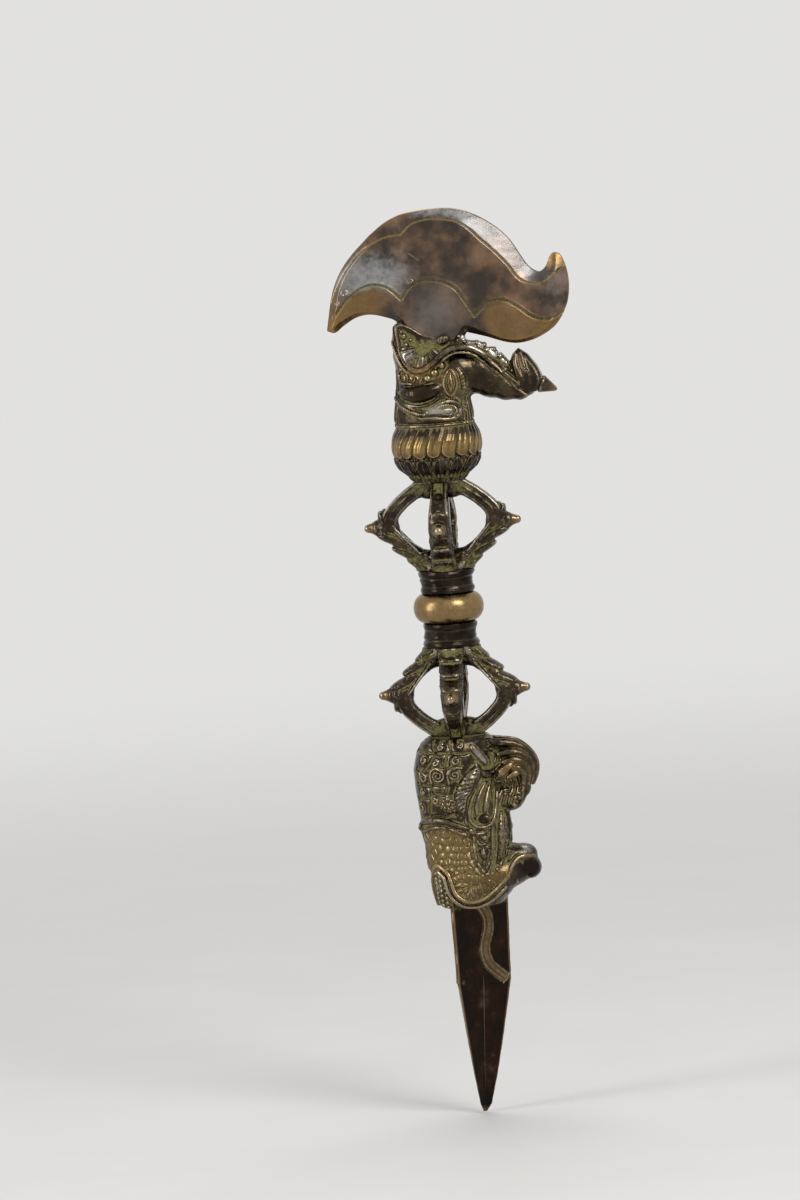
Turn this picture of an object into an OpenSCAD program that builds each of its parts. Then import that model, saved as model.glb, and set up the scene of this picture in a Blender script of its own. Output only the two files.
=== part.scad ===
// Phurba with a crescent head: a ritual dagger built up along a square core rod.
// The rod stands upright, the crescent is on top and the three-edged blade points down.
// The origin is the middle of the grip knob. The snouts point to +X, and -Y is the front.

/* [Core rod] */
// Side of the square rod that carries every piece of the handle
rod_side = 5; // [4:0.5:5]
// Gap between the rod and the holes that it passes through
rod_gap = 0.1; // [0.05:0.05:0.2]
// Depth of the rod's seat inside each head
rod_seat = 9; // [6:1:12]

/* [Grip knob] */
// Diameter of the polished knob
knob_d = 22.6; // [20:0.2:26]
// Height of the knob along the shaft
knob_h = 9.6; // [8:0.2:11]

/* [Necks] */
// Diameter of the waist between a neck's rings
neck_d = 16.2; // [14:0.2:17]
// Height of the neck above the knob
upper_neck_h = 7.2; // [6:0.2:10]
// Height of the neck below the knob
lower_neck_h = 7.7; // [6:0.2:10]
// Diameter of the rings round each neck
ring_d = 18.2; // [17.6:0.2:20]
// Height of one ring
ring_h = 1.8; // [1.2:0.2:2.4]

/* [Cages] */
// Height of the upper cage
upper_cage_h = 28.4; // [25:0.2:32]
// Width of the upper cage across the tips of its nubs
upper_cage_d = 50; // [44:1:54]
// Height of the lower cage
lower_cage_h = 28.7; // [25:0.2:32]
// Width of the lower cage across the tips of its nubs
lower_cage_d = 48.4; // [44:1:54]
// Width of a prong at its knee
prong_w = 7; // [5:0.5:8]
// Thickness of a prong's smooth arm
arm_t = 3.7; // [3:0.1:4.4]
// Distance from the axis to the middle of a prong's foot at the neck
foot_r = 5.6; // [5:0.2:6.4]
// Distance from the axis to the middle of a prong's far end
end_r = 3.9; // [3.6:0.1:4.6]
// Length of a nub beyond the knee
nub_l = 6.2; // [4:0.2:8]
// Diameter of a nub's bright tip
nub_d = 3.4; // [2.6:0.2:4.2]
// Gap between prongs where they are mitred together
mitre_gap = 0.1; // [0.05:0.05:0.2]

/* [Lotus collars] */
// Height of the dark tier of leaves
leaf_tier_h = 9.2; // [7:0.2:12]
// Height of the golden tier of petals
petal_tier_h = 8.7; // [7:0.2:11]
// Diameter across the bulge of the petals
petal_d = 29.2; // [27:0.2:32]
// Number of tongue-shaped petals
petal_count = 18; // [14:1:22]
// Number of pointed leaves
leaf_count = 16; // [10:1:18]
// Turn of a petal from its root to its tip, in degrees
petal_turn = 9; // [0:1:14]

/* [Upper head] */
// Width of the neck of the upper head
upper_head_w = 24; // [22:0.5:27]
// Depth of the neck of the upper head
upper_head_d = 21.6; // [20:0.4:25]
// Height from the collar to the crescent's seat
upper_mouth_h = 25.2; // [24:0.2:28]
// Reach of the snout from the axis to its rolled end
snout_reach = 31.3; // [29:0.5:34]
// Thickness of the rolled lips
lip_d = 2.2; // [1.6:0.2:3]
// Length of the jewel on the snout's end
jewel_l = 5.8; // [4:0.2:7]
// Diameter of the jewel's base
jewel_d = 5.4; // [4:0.2:6]
// Diameter of the jewel's peg
jewel_peg_d = 2; // [1.4:0.2:2.6]
// Length of the jewel's peg
jewel_peg_l = 3; // [2:0.5:3.5]

/* [Crescent] */
// Span of the crescent from its left tip to its right edge
crescent_w = 77.8; // [70:0.5:86]
// Height of the crescent above its seat
crescent_h = 43.3; // [38:0.5:48]
// Thickness of the crescent's body
crescent_t = 7; // [5:0.5:8]
// Thickness of the crescent's rim
rim_t = 1.4; // [0.8:0.2:2.4]
// Thickness of the raised border lines
border_d = 1.1; // [0.8:0.1:1.6]
// Width of the tang under the crescent
tang_w = 10; // [8:0.5:12]
// Thickness of the tang
tang_t = 4.4; // [3:0.2:4.6]
// Length of the tang
tang_l = 9; // [6:0.5:11]
// Gap round each tang in its socket
tang_gap = 0.12; // [0.05:0.01:0.2]

/* [Lower head] */
// Width of the body of the lower head
lower_head_w = 27; // [26:0.5:30]
// Depth of the body of the lower head
lower_head_d = 25.6; // [25:0.2:29]
// Height of the lower head from its top to its mouth
lower_head_h = 54; // [50:0.5:58]
// Reach of the fluted crest from the axis
crest_reach = 25; // [22:0.5:28]
// Reach of the round snout from the axis
nose_reach = 24; // [22:0.5:27]

/* [Blade] */
// Length of the blade below the head's mouth
blade_l = 67.4; // [60:0.2:76]
// Distance from the blade's axis to its edges at the mouth
edge_r = 12.2; // [10:0.1:12.4]
// Depth of the hollow along the middle of each face
hollow = 1.1; // [0.4:0.1:1.6]
// Depth to which the blade's root is set into the mouth
blade_seat = 2; // [1:0.2:3]
// Side of the square tang above the blade
blade_tang = 7; // [5:0.5:8]
// Length of the blade's tang
blade_tang_l = 16; // [10:1:18]
// Turn of the blade about its axis, in degrees
blade_turn = 6; // [0:1:12]
// Thickness of a serpent's body
serpent_d = 2.3; // [1.6:0.1:2.8]

/* [Hidden] */
$fn = 48;

// Heights of the seats along the rod, each worked out from the piece below or above it
knob_top = knob_h / 2;
upper_cage_z = knob_top + upper_neck_h;
leaf_z = upper_cage_z + upper_cage_h;
petal_z = leaf_z + leaf_tier_h;
upper_head_z = petal_z + petal_tier_h;
crescent_z = upper_head_z + upper_mouth_h;
lower_cage_z = -knob_top - lower_neck_h;
lower_head_z = lower_cage_z - lower_cage_h;
mouth_z = lower_head_z - lower_head_h;

bronze = [0.25, 0.19, 0.12];
dark_bronze = [0.16, 0.12, 0.09];
golden = [0.62, 0.46, 0.22];
polished = [0.78, 0.6, 0.28];
russet = [0.3, 0.17, 0.12];

// A smooth curve through a list of points of any dimension
function curve_point(a, b, c, d, t) =
    0.5 * (2 * b + (c - a) * t + (2 * a - 5 * b + 4 * c - d) * t * t + (3 * b - a - 3 * c + d) * t * t * t);
function curve(points, steps) = [
    for (i = [0 : len(points) - 2])
        for (k = [0 : steps - 1])
            curve_point(points[max(i - 1, 0)], points[i], points[i + 1],
                points[min(i + 2, len(points) - 1)], k / steps),
    points[len(points) - 1]];

// The value of column c at height z in a table whose rows start with a height
function at_height(table, z, c) = lookup(z, [for (row = table) [row[0], row[c]]]);

// A solid between rings that all have the same number of points. Each ring runs counterclockwise
// when it is seen from the end that the solid grows towards.
module loft(rings) {
    n = len(rings[0]);
    last = (len(rings) - 1) * n;
    polyhedron(
        points = [for (ring = rings) for (p = ring) p],
        faces = concat(
            [[for (k = [0 : n - 1]) k]],
            [for (i = [0 : len(rings) - 2]) for (k = [0 : n - 1]) for (half = [0, 1])
                half == 0
                    ? [i * n + k, (i + 1) * n + (k + 1) % n, i * n + (k + 1) % n]
                    : [i * n + k, (i + 1) * n + k, (i + 1) * n + (k + 1) % n]],
            [[for (k = [n - 1 : -1 : 0]) last + k]]));
}

function unit(v) = v / norm(v);
function xyz(s) = [s[0], s[1], s[2]];
function heading(stations, i) =
    unit(xyz(stations[min(i + 1, len(stations) - 1)]) - xyz(stations[max(i - 1, 0)]));

// An oval ring of a sweep: a lies in the plane of the profile, b across it
function sweep_ring(at, t, a, b, sides) =
    let (side = unit(cross(t, [0, 1, 0])), up = cross(t, side))
    [for (k = [0 : sides - 1]) at + side * a * cos(360 * k / sides) + up * b * sin(360 * k / sides)];

// A bar through stations [x, y, z, half height, half width], with rounded ends
module sweep(stations, sides) {
    last = len(stations) - 1;
    loft(concat(
        [end_ring(stations, 0, -1, sides)],
        [for (i = [0 : last])
            sweep_ring(xyz(stations[i]), heading(stations, i), stations[i][3], stations[i][4], sides)],
        [end_ring(stations, last, 1, sides)]));
}

function end_ring(stations, i, way, sides) =
    let (t = heading(stations, i), a = stations[i][3], b = stations[i][4])
    sweep_ring(xyz(stations[i]) + t * way * min(a, b) * 0.6, t, a * 0.6, b * 0.6, sides);

// A round bar through stations [x, y, z, radius]
module strand(stations, sides = 5) {
    sweep([for (s = stations) [s[0], s[1], s[2], s[3], s[3]]], sides);
}

// A rounded form on the middle plane through stations [x, z, half height, half depth]
module limb(stations, sides = 8) {
    sweep([for (s = stations) [s[0], 0, s[1], s[2], s[3]]], sides);
}

// A chain of small rounded blocks through stations [x, y, z, radius], joined one to the next
module bead_line(stations) {
    for (i = [0 : len(stations) - 2])
        hull()
            for (s = [stations[i], stations[i + 1]])
                translate(xyz(s)) sphere(s[3], $fn = 4);
}

// A rounded lump, leaning in the plane of the profile
module lump(at, size, lean = 0) {
    translate(at) rotate([0, lean, 0]) scale(size) sphere(1, $fn = 6);
}

// A pointed tooth between two places
module tooth(foot, tip, width) {
    hull() {
        translate(foot) sphere(width / 2, $fn = 4);
        translate(tip) sphere(width / 5, $fn = 4);
    }
}

module both_sides() {
    children();
    mirror([0, 1, 0]) children();
}

module square_hole(side, low, high) {
    translate([-side / 2, -side / 2, low]) cube([side, side, high - low]);
}

module rod_hole(low, high) {
    square_hole(rod_side + 2 * rod_gap, low - 1, high + 1);
}

// Core rod: a plain square bar with its ends inside the two heads
module core_rod() {
    color(dark_bronze)
        square_hole(rod_side, lower_head_z - rod_seat + rod_gap, upper_head_z + rod_seat - rod_gap);
}

// Grip knob: a flattened ball with a full round edge
module grip_knob() {
    color(polished)
        difference() {
            rotate_extrude() {
                translate([0, -knob_h / 2]) square([(knob_d - knob_h) / 2, knob_h]);
                intersection() {
                    translate([(knob_d - knob_h) / 2, 0]) circle(knob_h / 2);
                    translate([0, -knob_h]) square([knob_d, 2 * knob_h]);
                }
            }
            rod_hole(-knob_h, knob_h);
        }
}

// A neck: a waist between two rounded rings, the lower ring a little smaller
module neck(low, h, foot_d) {
    difference() {
        union() {
            translate([0, 0, low]) cylinder(h = h, d = neck_d);
            translate([0, 0, low]) ring(foot_d);
            translate([0, 0, low + h - ring_h]) ring(ring_d);
            translate([0, 0, low + h / 2 - ring_h / 4]) cylinder(h = ring_h / 2, d = neck_d + 0.5);
        }
        rod_hole(low, low + h);
    }
}

module ring(d) {
    rotate_extrude() {
        square([(d - ring_h) / 2, ring_h]);
        translate([(d - ring_h) / 2, ring_h / 2]) circle(ring_h / 2);
    }
}

module upper_neck() {
    color(dark_bronze) neck(knob_top, upper_neck_h, ring_d - 1);
}

module lower_neck() {
    color(dark_bronze) mirror([0, 0, 1]) neck(knob_top, lower_neck_h, ring_d - 1);
}

// Prong: a bent bar from the foot at the neck, out to the knee and back in to the far end.
// It lies along +X, and the mitre keeps it inside its own quarter of the cage.
module prong(h, d) {
    knee_r = d / 2 - nub_l - arm_t / 2;
    knee_z = h * 0.51;
    out = knee_r - foot_r;
    back = knee_r - end_r;
    wide = prong_w / 2;
    intersection() {
        union() {
            limb([
                [foot_r - 0.6, -1, arm_t * 0.8, wide],
                [foot_r, h * 0.07, arm_t * 0.74, wide],
                [foot_r + out * 0.42, h * 0.2, arm_t * 0.64, wide],
                [foot_r + out * 0.8, h * 0.35, arm_t * 0.62, wide],
                [knee_r, knee_z, arm_t * 0.66, wide],
                [end_r + back * 0.82, h * 0.655, arm_t * 0.5, wide * 0.86],
                [end_r + back * 0.44, h * 0.815, arm_t * 0.47, wide * 0.68],
                [end_r, h * 0.95, arm_t * 0.46, wide * 0.56],
                [end_r - 0.4, h + 1, arm_t * 0.46, wide * 0.56]], 6);
            knee_ridge(knee_r, knee_z);
            nub(knee_r, knee_z, d / 2);
            for (share = [0.12, 0.42, 0.72])
                leaf_rib([foot_r + out * share, h * (0.05 + 0.42 * share)], unit([out, knee_z]));
        }
        mitre(h, d);
    }
}

// A ridge across the knee, where the leaves end and the smooth arm begins
module knee_ridge(r, z) {
    both_sides()
        hull() {
            translate([r + 1.6, 0.3, z + 1.8]) sphere(1.1, $fn = 4);
            translate([r - 0.6, prong_w * 0.4, z - 0.6]) sphere(0.9, $fn = 4);
        }
}

// A nub: a short stem, a shoulder and a round tip that ends at radius tip
module nub(r, z, tip) {
    hull() {
        translate([r, 0, z]) sphere(arm_t * 0.62, $fn = 6);
        translate([tip - nub_d * 0.9, 0, z]) sphere(nub_d * 0.4, $fn = 6);
    }
    translate([tip - nub_d / 2, 0, z]) sphere(nub_d / 2, $fn = 6);
}

// A leafed rib across the outer side of the arm, with its edge turned out towards the knee
module leaf_rib(at, along) {
    outward = [along[1], -along[0]];
    root = at + outward * arm_t * 0.2;
    tip = at + outward * arm_t * 0.95 + along * 2.4;
    hull() {
        cross_bar(root, prong_w * 0.88, 1.5);
        cross_bar(tip, prong_w * 0.62, 0.9);
    }
}

// A bar across the middle plane at [x, z]
module cross_bar(at, wide, r) {
    translate([at[0], 0, at[1]]) rotate([90, 0, 0]) cylinder(h = wide, r = r, center = true, $fn = 4);
}

// The quarter of the cage that one prong may fill, cut back from the rod and its neighbours
module mitre(h, d) {
    near = rod_side / 2 + rod_gap;
    linear_extrude(h)
        polygon([[near, -near + mitre_gap], [d, -d + mitre_gap],
            [d, d - mitre_gap], [near, near - mitre_gap]]);
}

module upper_prong(turn) {
    color(bronze) translate([0, 0, upper_cage_z]) rotate([0, 0, turn]) prong(upper_cage_h, upper_cage_d);
}

module lower_prong(turn) {
    color(bronze) translate([0, 0, lower_cage_z]) rotate([0, 0, turn]) mirror([0, 0, 1])
        prong(lower_cage_h, lower_cage_d);
}

// A cup with lobes round it. A row is [height, radius in the grooves, rise of the lobes, turn, fullness]:
// a full lobe is round, and one with a fullness near 0 is a narrow keel.
module lobed_cup(rows, count) {
    step = 360 / count;
    loft([for (row = rows)
        [for (i = [0 : count - 1]) for (place = [0 : 3])
            let (rise = [0, row[4], 1, row[4]][place],
                r = row[1] + row[2] * rise,
                a = step * (i + place / 4) + row[3])
                [r * cos(a), r * sin(a), row[0]]]]);
}

// Leaf collar: a lotus cup with pointed leaves, each with a raised rib
module leaf_collar() {
    wide = petal_d / 2;
    h = leaf_tier_h;
    color(dark_bronze)
        translate([0, 0, leaf_z])
            difference() {
                lobed_cup([[0, end_r + arm_t - 1, 0.2, 0, 0.7], [0.7, end_r + arm_t + 0.4, 0.5, 0, 0.7],
                    [h * 0.17, wide - 6, 0.9, 0, 0.7], [h * 0.42, wide - 3.7, 1.1, 0, 0.75],
                    [h * 0.7, wide - 2.2, 1.2, 0, 0.7], [h * 0.88, wide - 1.7, 1.1, 0, 0.3],
                    [h, wide - 2, 0.6, 0, 0]], leaf_count);
                rod_hole(0, h);
            }
}

// Petal collar: slanting tongues that swell out over the leaves
module petal_collar() {
    wide = petal_d / 2;
    h = petal_tier_h;
    color(golden)
        translate([0, 0, petal_z])
            difference() {
                lobed_cup([[0, wide - 2, 0.4, 0, 0.6], [h * 0.09, wide - 1.6, 1.1, -0.05 * petal_turn, 0.75],
                    [h * 0.24, wide - 1.4, 1.4, -0.3 * petal_turn, 0.85],
                    [h * 0.45, wide - 1.4, 1.4, 0.1 * petal_turn, 0.85],
                    [h * 0.75, wide - 1.6, 1.1, 0.6 * petal_turn, 0.8],
                    [h, wide - 2.3, 0.6, petal_turn, 0.75]], petal_count);
                rod_hole(0, h);
            }
}

// Upper head: height above the collar, left edge, right edge and half depth of its neck
upper_neck_table = [
    [0, -0.52, 0.49, 0.5], [4, -0.51, 0.48, 0.495], [9, -0.485, 0.48, 0.47], [13, -0.45, 0.5, 0.44],
    [16.5, -0.42, 0.47, 0.4], [18.6, -0.3, 0.36, 0.28]];
function upper_left(z) = at_height(upper_neck_table, z, 1) * upper_head_w;
function upper_right(z) = at_height(upper_neck_table, z, 2) * upper_head_w;
function upper_depth(z) = at_height(upper_neck_table, z, 3) * upper_head_d;
function upper_middle(z) = (upper_left(z) + upper_right(z)) / 2;
function upper_half(z) = (upper_right(z) - upper_left(z)) / 2;
// Front surface of the neck at x and height z, measured from the middle plane
function upper_skin(x, z) =
    upper_depth(z) * sqrt(max(0.05, 1 - pow((x - upper_middle(z)) / upper_half(z), 2)));

// How far the snout is drawn out past its modelled reach
snout_draw = snout_reach - 31.3;
// The rolled lip, [x, height, half depth], from the chin's tip round the corner of the mouth to the snout
upper_lip = [
    [-10.9, 29.6, 4.6], [-9.9, 24.4, 6.4], [-7.6, 19, 7.8], [-4.2, 17.3, 8.6], [1.4, 21.2, 8.6],
    [8.4, 24, 8], [15.6, 20.3, 6.6], [22.8 + snout_draw, 13.2, 5], [27 + snout_draw, 9.6, 4.2]];

module upper_head() {
    color(bronze)
        translate([0, 0, upper_head_z])
            difference() {
                union() {
                    upper_neck_form();
                    upper_jaws();
                    upper_gums();
                    both_sides() {
                        lip(upper_lip, 2);
                        upper_ornament();
                    }
                }
                square_hole(rod_side + 2 * rod_gap, -1, rod_seat);
                crescent_pocket();
                jewel_hole();
            }
}

module upper_neck_form() {
    loft([for (z = [0, 2, 5, 9, 13, 16.5, 18.6])
        [for (a = [0 : 20 : 340])
            [upper_middle(z) + upper_half(z) * cos(a), upper_depth(z) * sin(a), z]]]);
}

// The chin at the left, the long snout at the right and the snout's rolled end
module upper_jaws() {
    limb([[-3, 9.6, 7, 9.4], [-6.3, 16.4, 3.8, 7.4], [-9.2, 22.6, 1.7, 6.2], [-10.7, 29, 0.8, 4.4]]);
    limb([[3, 13, 8.2, 9.4], [8.6, 17.6, 6, 8], [15, 14.9, 5.2, 6.8], [20.8 + snout_draw, 11, 4, 5.6],
        [25.4 + snout_draw, 8.4, 2.5, 4.6], [29.4 + snout_draw, 9, 2.4, 4.2]]);
    limb([[27.3 + snout_draw, 21, 1.5, 2.8], [29 + snout_draw, 17, 2.8, 3.6], [31.3 + snout_draw, 13, 3.7, 4.2],
        [30.6 + snout_draw, 10, 3, 4.2]]);
}

// Gums that fill the mouth and hold the crescent's root, with teeth along the snout and the chin
module upper_gums() {
    deep = crescent_t / 2 + 1.5;
    outline = concat(
        curve([[-10.6, 29.5], [-8, 21], [-4, 17], [1, 20], [8, 23], [16, 19], [24 + snout_draw, 12.4]], 2),
        [[24.6 + snout_draw, 17.4], [20, 20.6], [15, 23.6], [9.4, 26.6], [4, 25.9], [-2, 26.5], [-6, 28.8],
            [-8.8, 31.4], [-10.8, 31.6]]);
    rotate([90, 0, 0]) translate([0, 0, -deep]) linear_extrude(2 * deep) polygon(outline);
    for (i = [0 : 6])
        let (x = 10.2 + (2.2 + snout_draw / 6) * i, z = 25.6 - 1.12 * i - 0.05 * i * i)
            tooth([x, 0, z], [x + 0.8, 0, z + 2], 3);
    both_sides()
        for (i = [0 : 4])
            tooth([1.9 * i - 8.4, -deep, 21.2 - 2.6 * sin(45 * i)], [1.7 * i - 8, -deep, 24 - 2.2 * sin(45 * i)], 1.8);
}

// A rolled lip that follows stations [x, height, half depth] on one side of a head
module lip(stations, steps) {
    strand([for (p = curve(stations, steps)) [p[0], -p[2], p[1], lip_d / 2]]);
}

// Ornament on one side of the neck: hooded eye, beads, leaves and comma curl
module upper_ornament() {
    strand([for (p = [[-9.4, 9.4, 1.2], [-6.6, 8.8, 2.4], [-3.2, 9.4, 2.7], [0.4, 12, 1.4]])
        [p[0], 1.2 - upper_skin(p[0], p[1]), p[1], p[2]]], 8);
    for (p = [[3, 18.4, 1.4], [0.5, 15.8, 1.3], [-2.1, 14.2, 1.2], [-5.4, 13.4, 1.2], [-8.4, 14, 1.1]])
        translate([p[0], -0.2 - upper_skin(p[0], p[1]), p[1]]) sphere(p[2], $fn = 5);
    for (p = [[5.4, 12.5, 2.2, 4.4, 4], [9.2, 12.2, 1.5, 4.6, -4]])
        lump([p[0], 0.5 - upper_skin(p[0], p[1]), p[1]], [p[2], 1.3, p[3]], p[4]);
    comma = [[-4.6, 1.5, 0.7], [-1, 3, 1.2], [3.4, 5, 1.6], [6.6, 4.6, 1.8], [6.4, 2.6, 1.6], [2.6, 2.2, 1.2]];
    strand([for (p = comma) [p[0], 0.3 - upper_skin(p[0], p[1]), p[1], p[2]]], 6);
}

jewel_at = [34 + snout_draw, 0, 10.8];
jewel_lean = 113.5;

// Snout jewel: a pointed cone on a collar, with a peg in the snout's end
module snout_jewel() {
    color(golden)
        translate([0, 0, upper_head_z]) translate(jewel_at) rotate([0, jewel_lean, 0]) {
            cylinder(h = jewel_l, d1 = jewel_d, d2 = 0.8);
            rotate_extrude() translate([jewel_d / 2 - 0.4, 0.6]) circle(0.6);
            translate([0, 0, -jewel_peg_l]) cylinder(h = jewel_peg_l + 0.1, d = jewel_peg_d);
        }
}

// The flat seat and the hole for the jewel's peg
module jewel_hole() {
    translate(jewel_at) rotate([0, jewel_lean, 0]) {
        square_hole(jewel_d + 4, 0, jewel_l + 2);
        translate([0, 0, -jewel_peg_l - tang_gap]) cylinder(h = jewel_peg_l + 1, d = jewel_peg_d + 2 * tang_gap);
    }
}

// Crescent: stations [rim x, rim height, bevel x, bevel height] at its modelled size
crescent_top = [
    [-32.3, 6.2, -29.6, 9.4], [-28.4, 22.2, -26, 20.4], [-17.4, 35.6, -16.6, 32.6], [-2.2, 42.7, -4.4, 38],
    [13.2, 42.1, 10.8, 39.6], [25.6, 33, 21.6, 29.2], [31.4, 24.4, 29.6, 19.6], [35.6, 21.3, 35.4, 17.7],
    [39.8, 25.6, 40.8, 21.4], [42.4, 27, 42.7, 24.4]];
crescent_right = [
    [42.4, 27, 42.7, 24.4], [45.5, 18.6, 44.1, 18], [42.2, 6.6, 41, 7.8], [33.6, 0, 33, 1.8], [28.4, -1.2, 28, 0.9],
    [18.4, 1.6, 18.8, 3.6], [12.6, 3.4, 12, 5.2], [8, 0, 7.4, 0.8]];
crescent_left = [
    [-6.6, 0, -6, 0.8], [-10.1, 8.3, -8.6, 9.6], [-18.9, 10.8, -18.6, 13], [-26.8, 7.8, -26.4, 10.2],
    [-32.3, 6.2, -29.6, 9.4]];
// The scalloped border on each face, three runs that meet in cusps
border_runs = [
    [[-29.2, 10.6], [-23.2, 17], [-16, 19.4], [-8.1, 14.9]],
    [[-8.1, 14.9], [-3.4, 18.9], [3, 20.4], [10.2, 16.2], [15, 8.2]],
    [[15, 8.2], [23, 13], [31, 8.8], [37.4, 6.2], [42, 7.6]]];

crescent_stations = concat(curve(crescent_top, 4), curve(crescent_right, 3), curve(crescent_left, 4));
// The stations as one loop, each corner kept once
crescent_loop = [for (i = [0 : len(crescent_stations) - 1])
    if (norm(crescent_stations[i] - crescent_stations[(i + 1) % len(crescent_stations)]) > 0.01)
        crescent_stations[i]];
function to_span(x) = x * crescent_w / 77.8;
function to_rise(z) = z > 0 ? z * crescent_h / 43.3 : z;
function crescent_ring(y, column) = [for (s = crescent_loop) [to_span(s[column]), y, to_rise(s[column + 1])]];

module crescent_body() {
    loft([crescent_ring(-crescent_t / 2, 2), crescent_ring(-rim_t / 2, 0),
        crescent_ring(rim_t / 2, 0), crescent_ring(crescent_t / 2, 2)]);
}

module crescent_blade() {
    color(russet)
        translate([0, 0, crescent_z]) {
            crescent_body();
            translate([-tang_w / 2, -tang_t / 2, -tang_l]) cube([tang_w, tang_t, tang_l + 2]);
            both_sides()
                for (run = border_runs)
                    bead_line([for (p = curve(run, 2))
                        [to_span(p[0]), -crescent_t / 2, to_rise(p[1]), border_d / 2]]);
        }
}

// Room in the upper head for the crescent's root and its tang
module crescent_pocket() {
    room = crescent_t / 2 + tang_gap;
    translate([0, 0, upper_mouth_h]) {
        translate([-tang_w / 2 - tang_gap, -tang_t / 2 - tang_gap, -tang_l - tang_gap])
            cube([tang_w + 2 * tang_gap, tang_t + 2 * tang_gap, tang_l + 2]);
        rotate([90, 0, 0]) translate([0, 0, -room]) linear_extrude(2 * room)
            polygon([[to_span(-6.6) - 0.2, 0], [to_span(-10.4), to_rise(8.4)], [to_span(-10.4), 20],
                [to_span(40), 20], [to_span(40), 0], [to_span(28), -1.6], [to_span(12.6), 3.2],
                [to_span(8) + 0.2, 0]]);
    }
}

// Lower head: depth below its top, left edge, right edge and half depth, as shares of its width and depth
lower_body_table = [
    [-54, -0.35, 0.41, 0.47], [-51, -0.4, 0.5, 0.5], [-45.6, -0.43, 0.53, 0.49], [-39, -0.45, 0.52, 0.48],
    [-33.5, -0.46, 0.53, 0.47], [-29.6, -0.5, 0.53, 0.49], [-24, -0.51, 0.48, 0.5], [-17, -0.54, 0.43, 0.5],
    [-10, -0.55, 0.41, 0.495], [-4.3, -0.5, 0.42, 0.45], [-1.6, -0.44, 0.41, 0.4], [0, -0.36, 0.36, 0.34]];
lower_rise = lower_head_h / 54;
function lower_left(z) = at_height(lower_body_table, z, 1) * lower_head_w;
function lower_right(z) = at_height(lower_body_table, z, 2) * lower_head_w;
function lower_depth(z) = at_height(lower_body_table, z, 3) * lower_head_d;
function lower_middle(z) = (lower_left(z) + lower_right(z)) / 2;
function lower_half(z) = (lower_right(z) - lower_left(z)) / 2;
// Front surface of the body at x and height z, measured from the middle plane
function lower_skin(x, z) =
    lower_depth(z) * sqrt(max(0.05, 1 - pow((x - lower_middle(z)) / lower_half(z), 2)));

crest_draw = crest_reach - 25;
nose_draw = nose_reach - 24;
// The rolled lip, [x, height, half depth], from the chin round to the snout
lower_lip = [
    [-9.4, -52.6, 8], [-10.6, -45.6, 7], [-8.9, -42.4, 9], [-4.6, -48.6, 11.6], [1.5, -53.2, 12.4],
    [9.4, -49.2, 11], [14.6, -41.8, 8.6], [18, -38.4, 6.6], [22 + nose_draw, -39.4, 4]];

module lower_head() {
    color(bronze)
        translate([0, 0, lower_head_z])
            difference() {
                scale([1, 1, lower_rise])
                    union() {
                        lower_body_form();
                        lower_snout();
                        lower_crest();
                        both_sides() {
                            lip(lower_lip, 2);
                            lower_ornament();
                        }
                    }
                square_hole(rod_side + 2 * rod_gap, -rod_seat, 1);
                blade_pocket();
            }
}

module lower_body_form() {
    loft([for (row = lower_body_table)
        [for (a = [0 : 20 : 340])
            [lower_middle(row[0]) + lower_half(row[0]) * cos(a), lower_depth(row[0]) * sin(a), row[0]]]]);
}

module lower_snout() {
    limb([[8, -45, 6.4, 9.4], [13.6 + nose_draw / 2, -44.6, 6.2, 7.8], [18.6 + nose_draw, -43, 5.4, 5.6]]);
    both_sides()
        strand([[12, -8.6, -49.6, 0.9], [14.6 + nose_draw, -7.4, -42, 1.1], [21.6 + nose_draw, -3.6, -39.4, 0.9]]);
}

// The crest behind the head: curved flutes [tip x, tip height] that spread from the skull over a flat core
module lower_crest() {
    limb([[8, -10, 6, 6.4], [14 + crest_draw / 2, -11.6, 6.2, 5], [20.4 + crest_draw, -13, 3.8, 3]]);
    limb([[10, -21, 5, 6], [16.4 + crest_draw / 2, -20.6, 4.6, 4.4]]);
    tips = [[15.4, -4.2], [20.6, -6.2], [23.6, -10.6], [23.4, -15.6], [20.2, -20]];
    both_sides()
        for (i = [0 : 4])
            let (tip = tips[i])
                strand([[10.8 - 0.3 * i, -6.9, -9.6 - 1.9 * i, 1.2],
                    [(13 + tip[0]) / 2 + crest_draw / 2, -5.1, tip[1] * 0.74 - 2.9, 1.8],
                    [tip[0] + crest_draw, -2.1, tip[1], 1.5]]);
}

// A raised form on the skin of the lower head through stations [x, height, radius]
module lower_relief(stations, sides = 5, sunk = 0.3) {
    strand([for (p = stations) [p[0], sunk - lower_skin(p[0], p[1]), p[1], p[2]]], sides);
}

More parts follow.
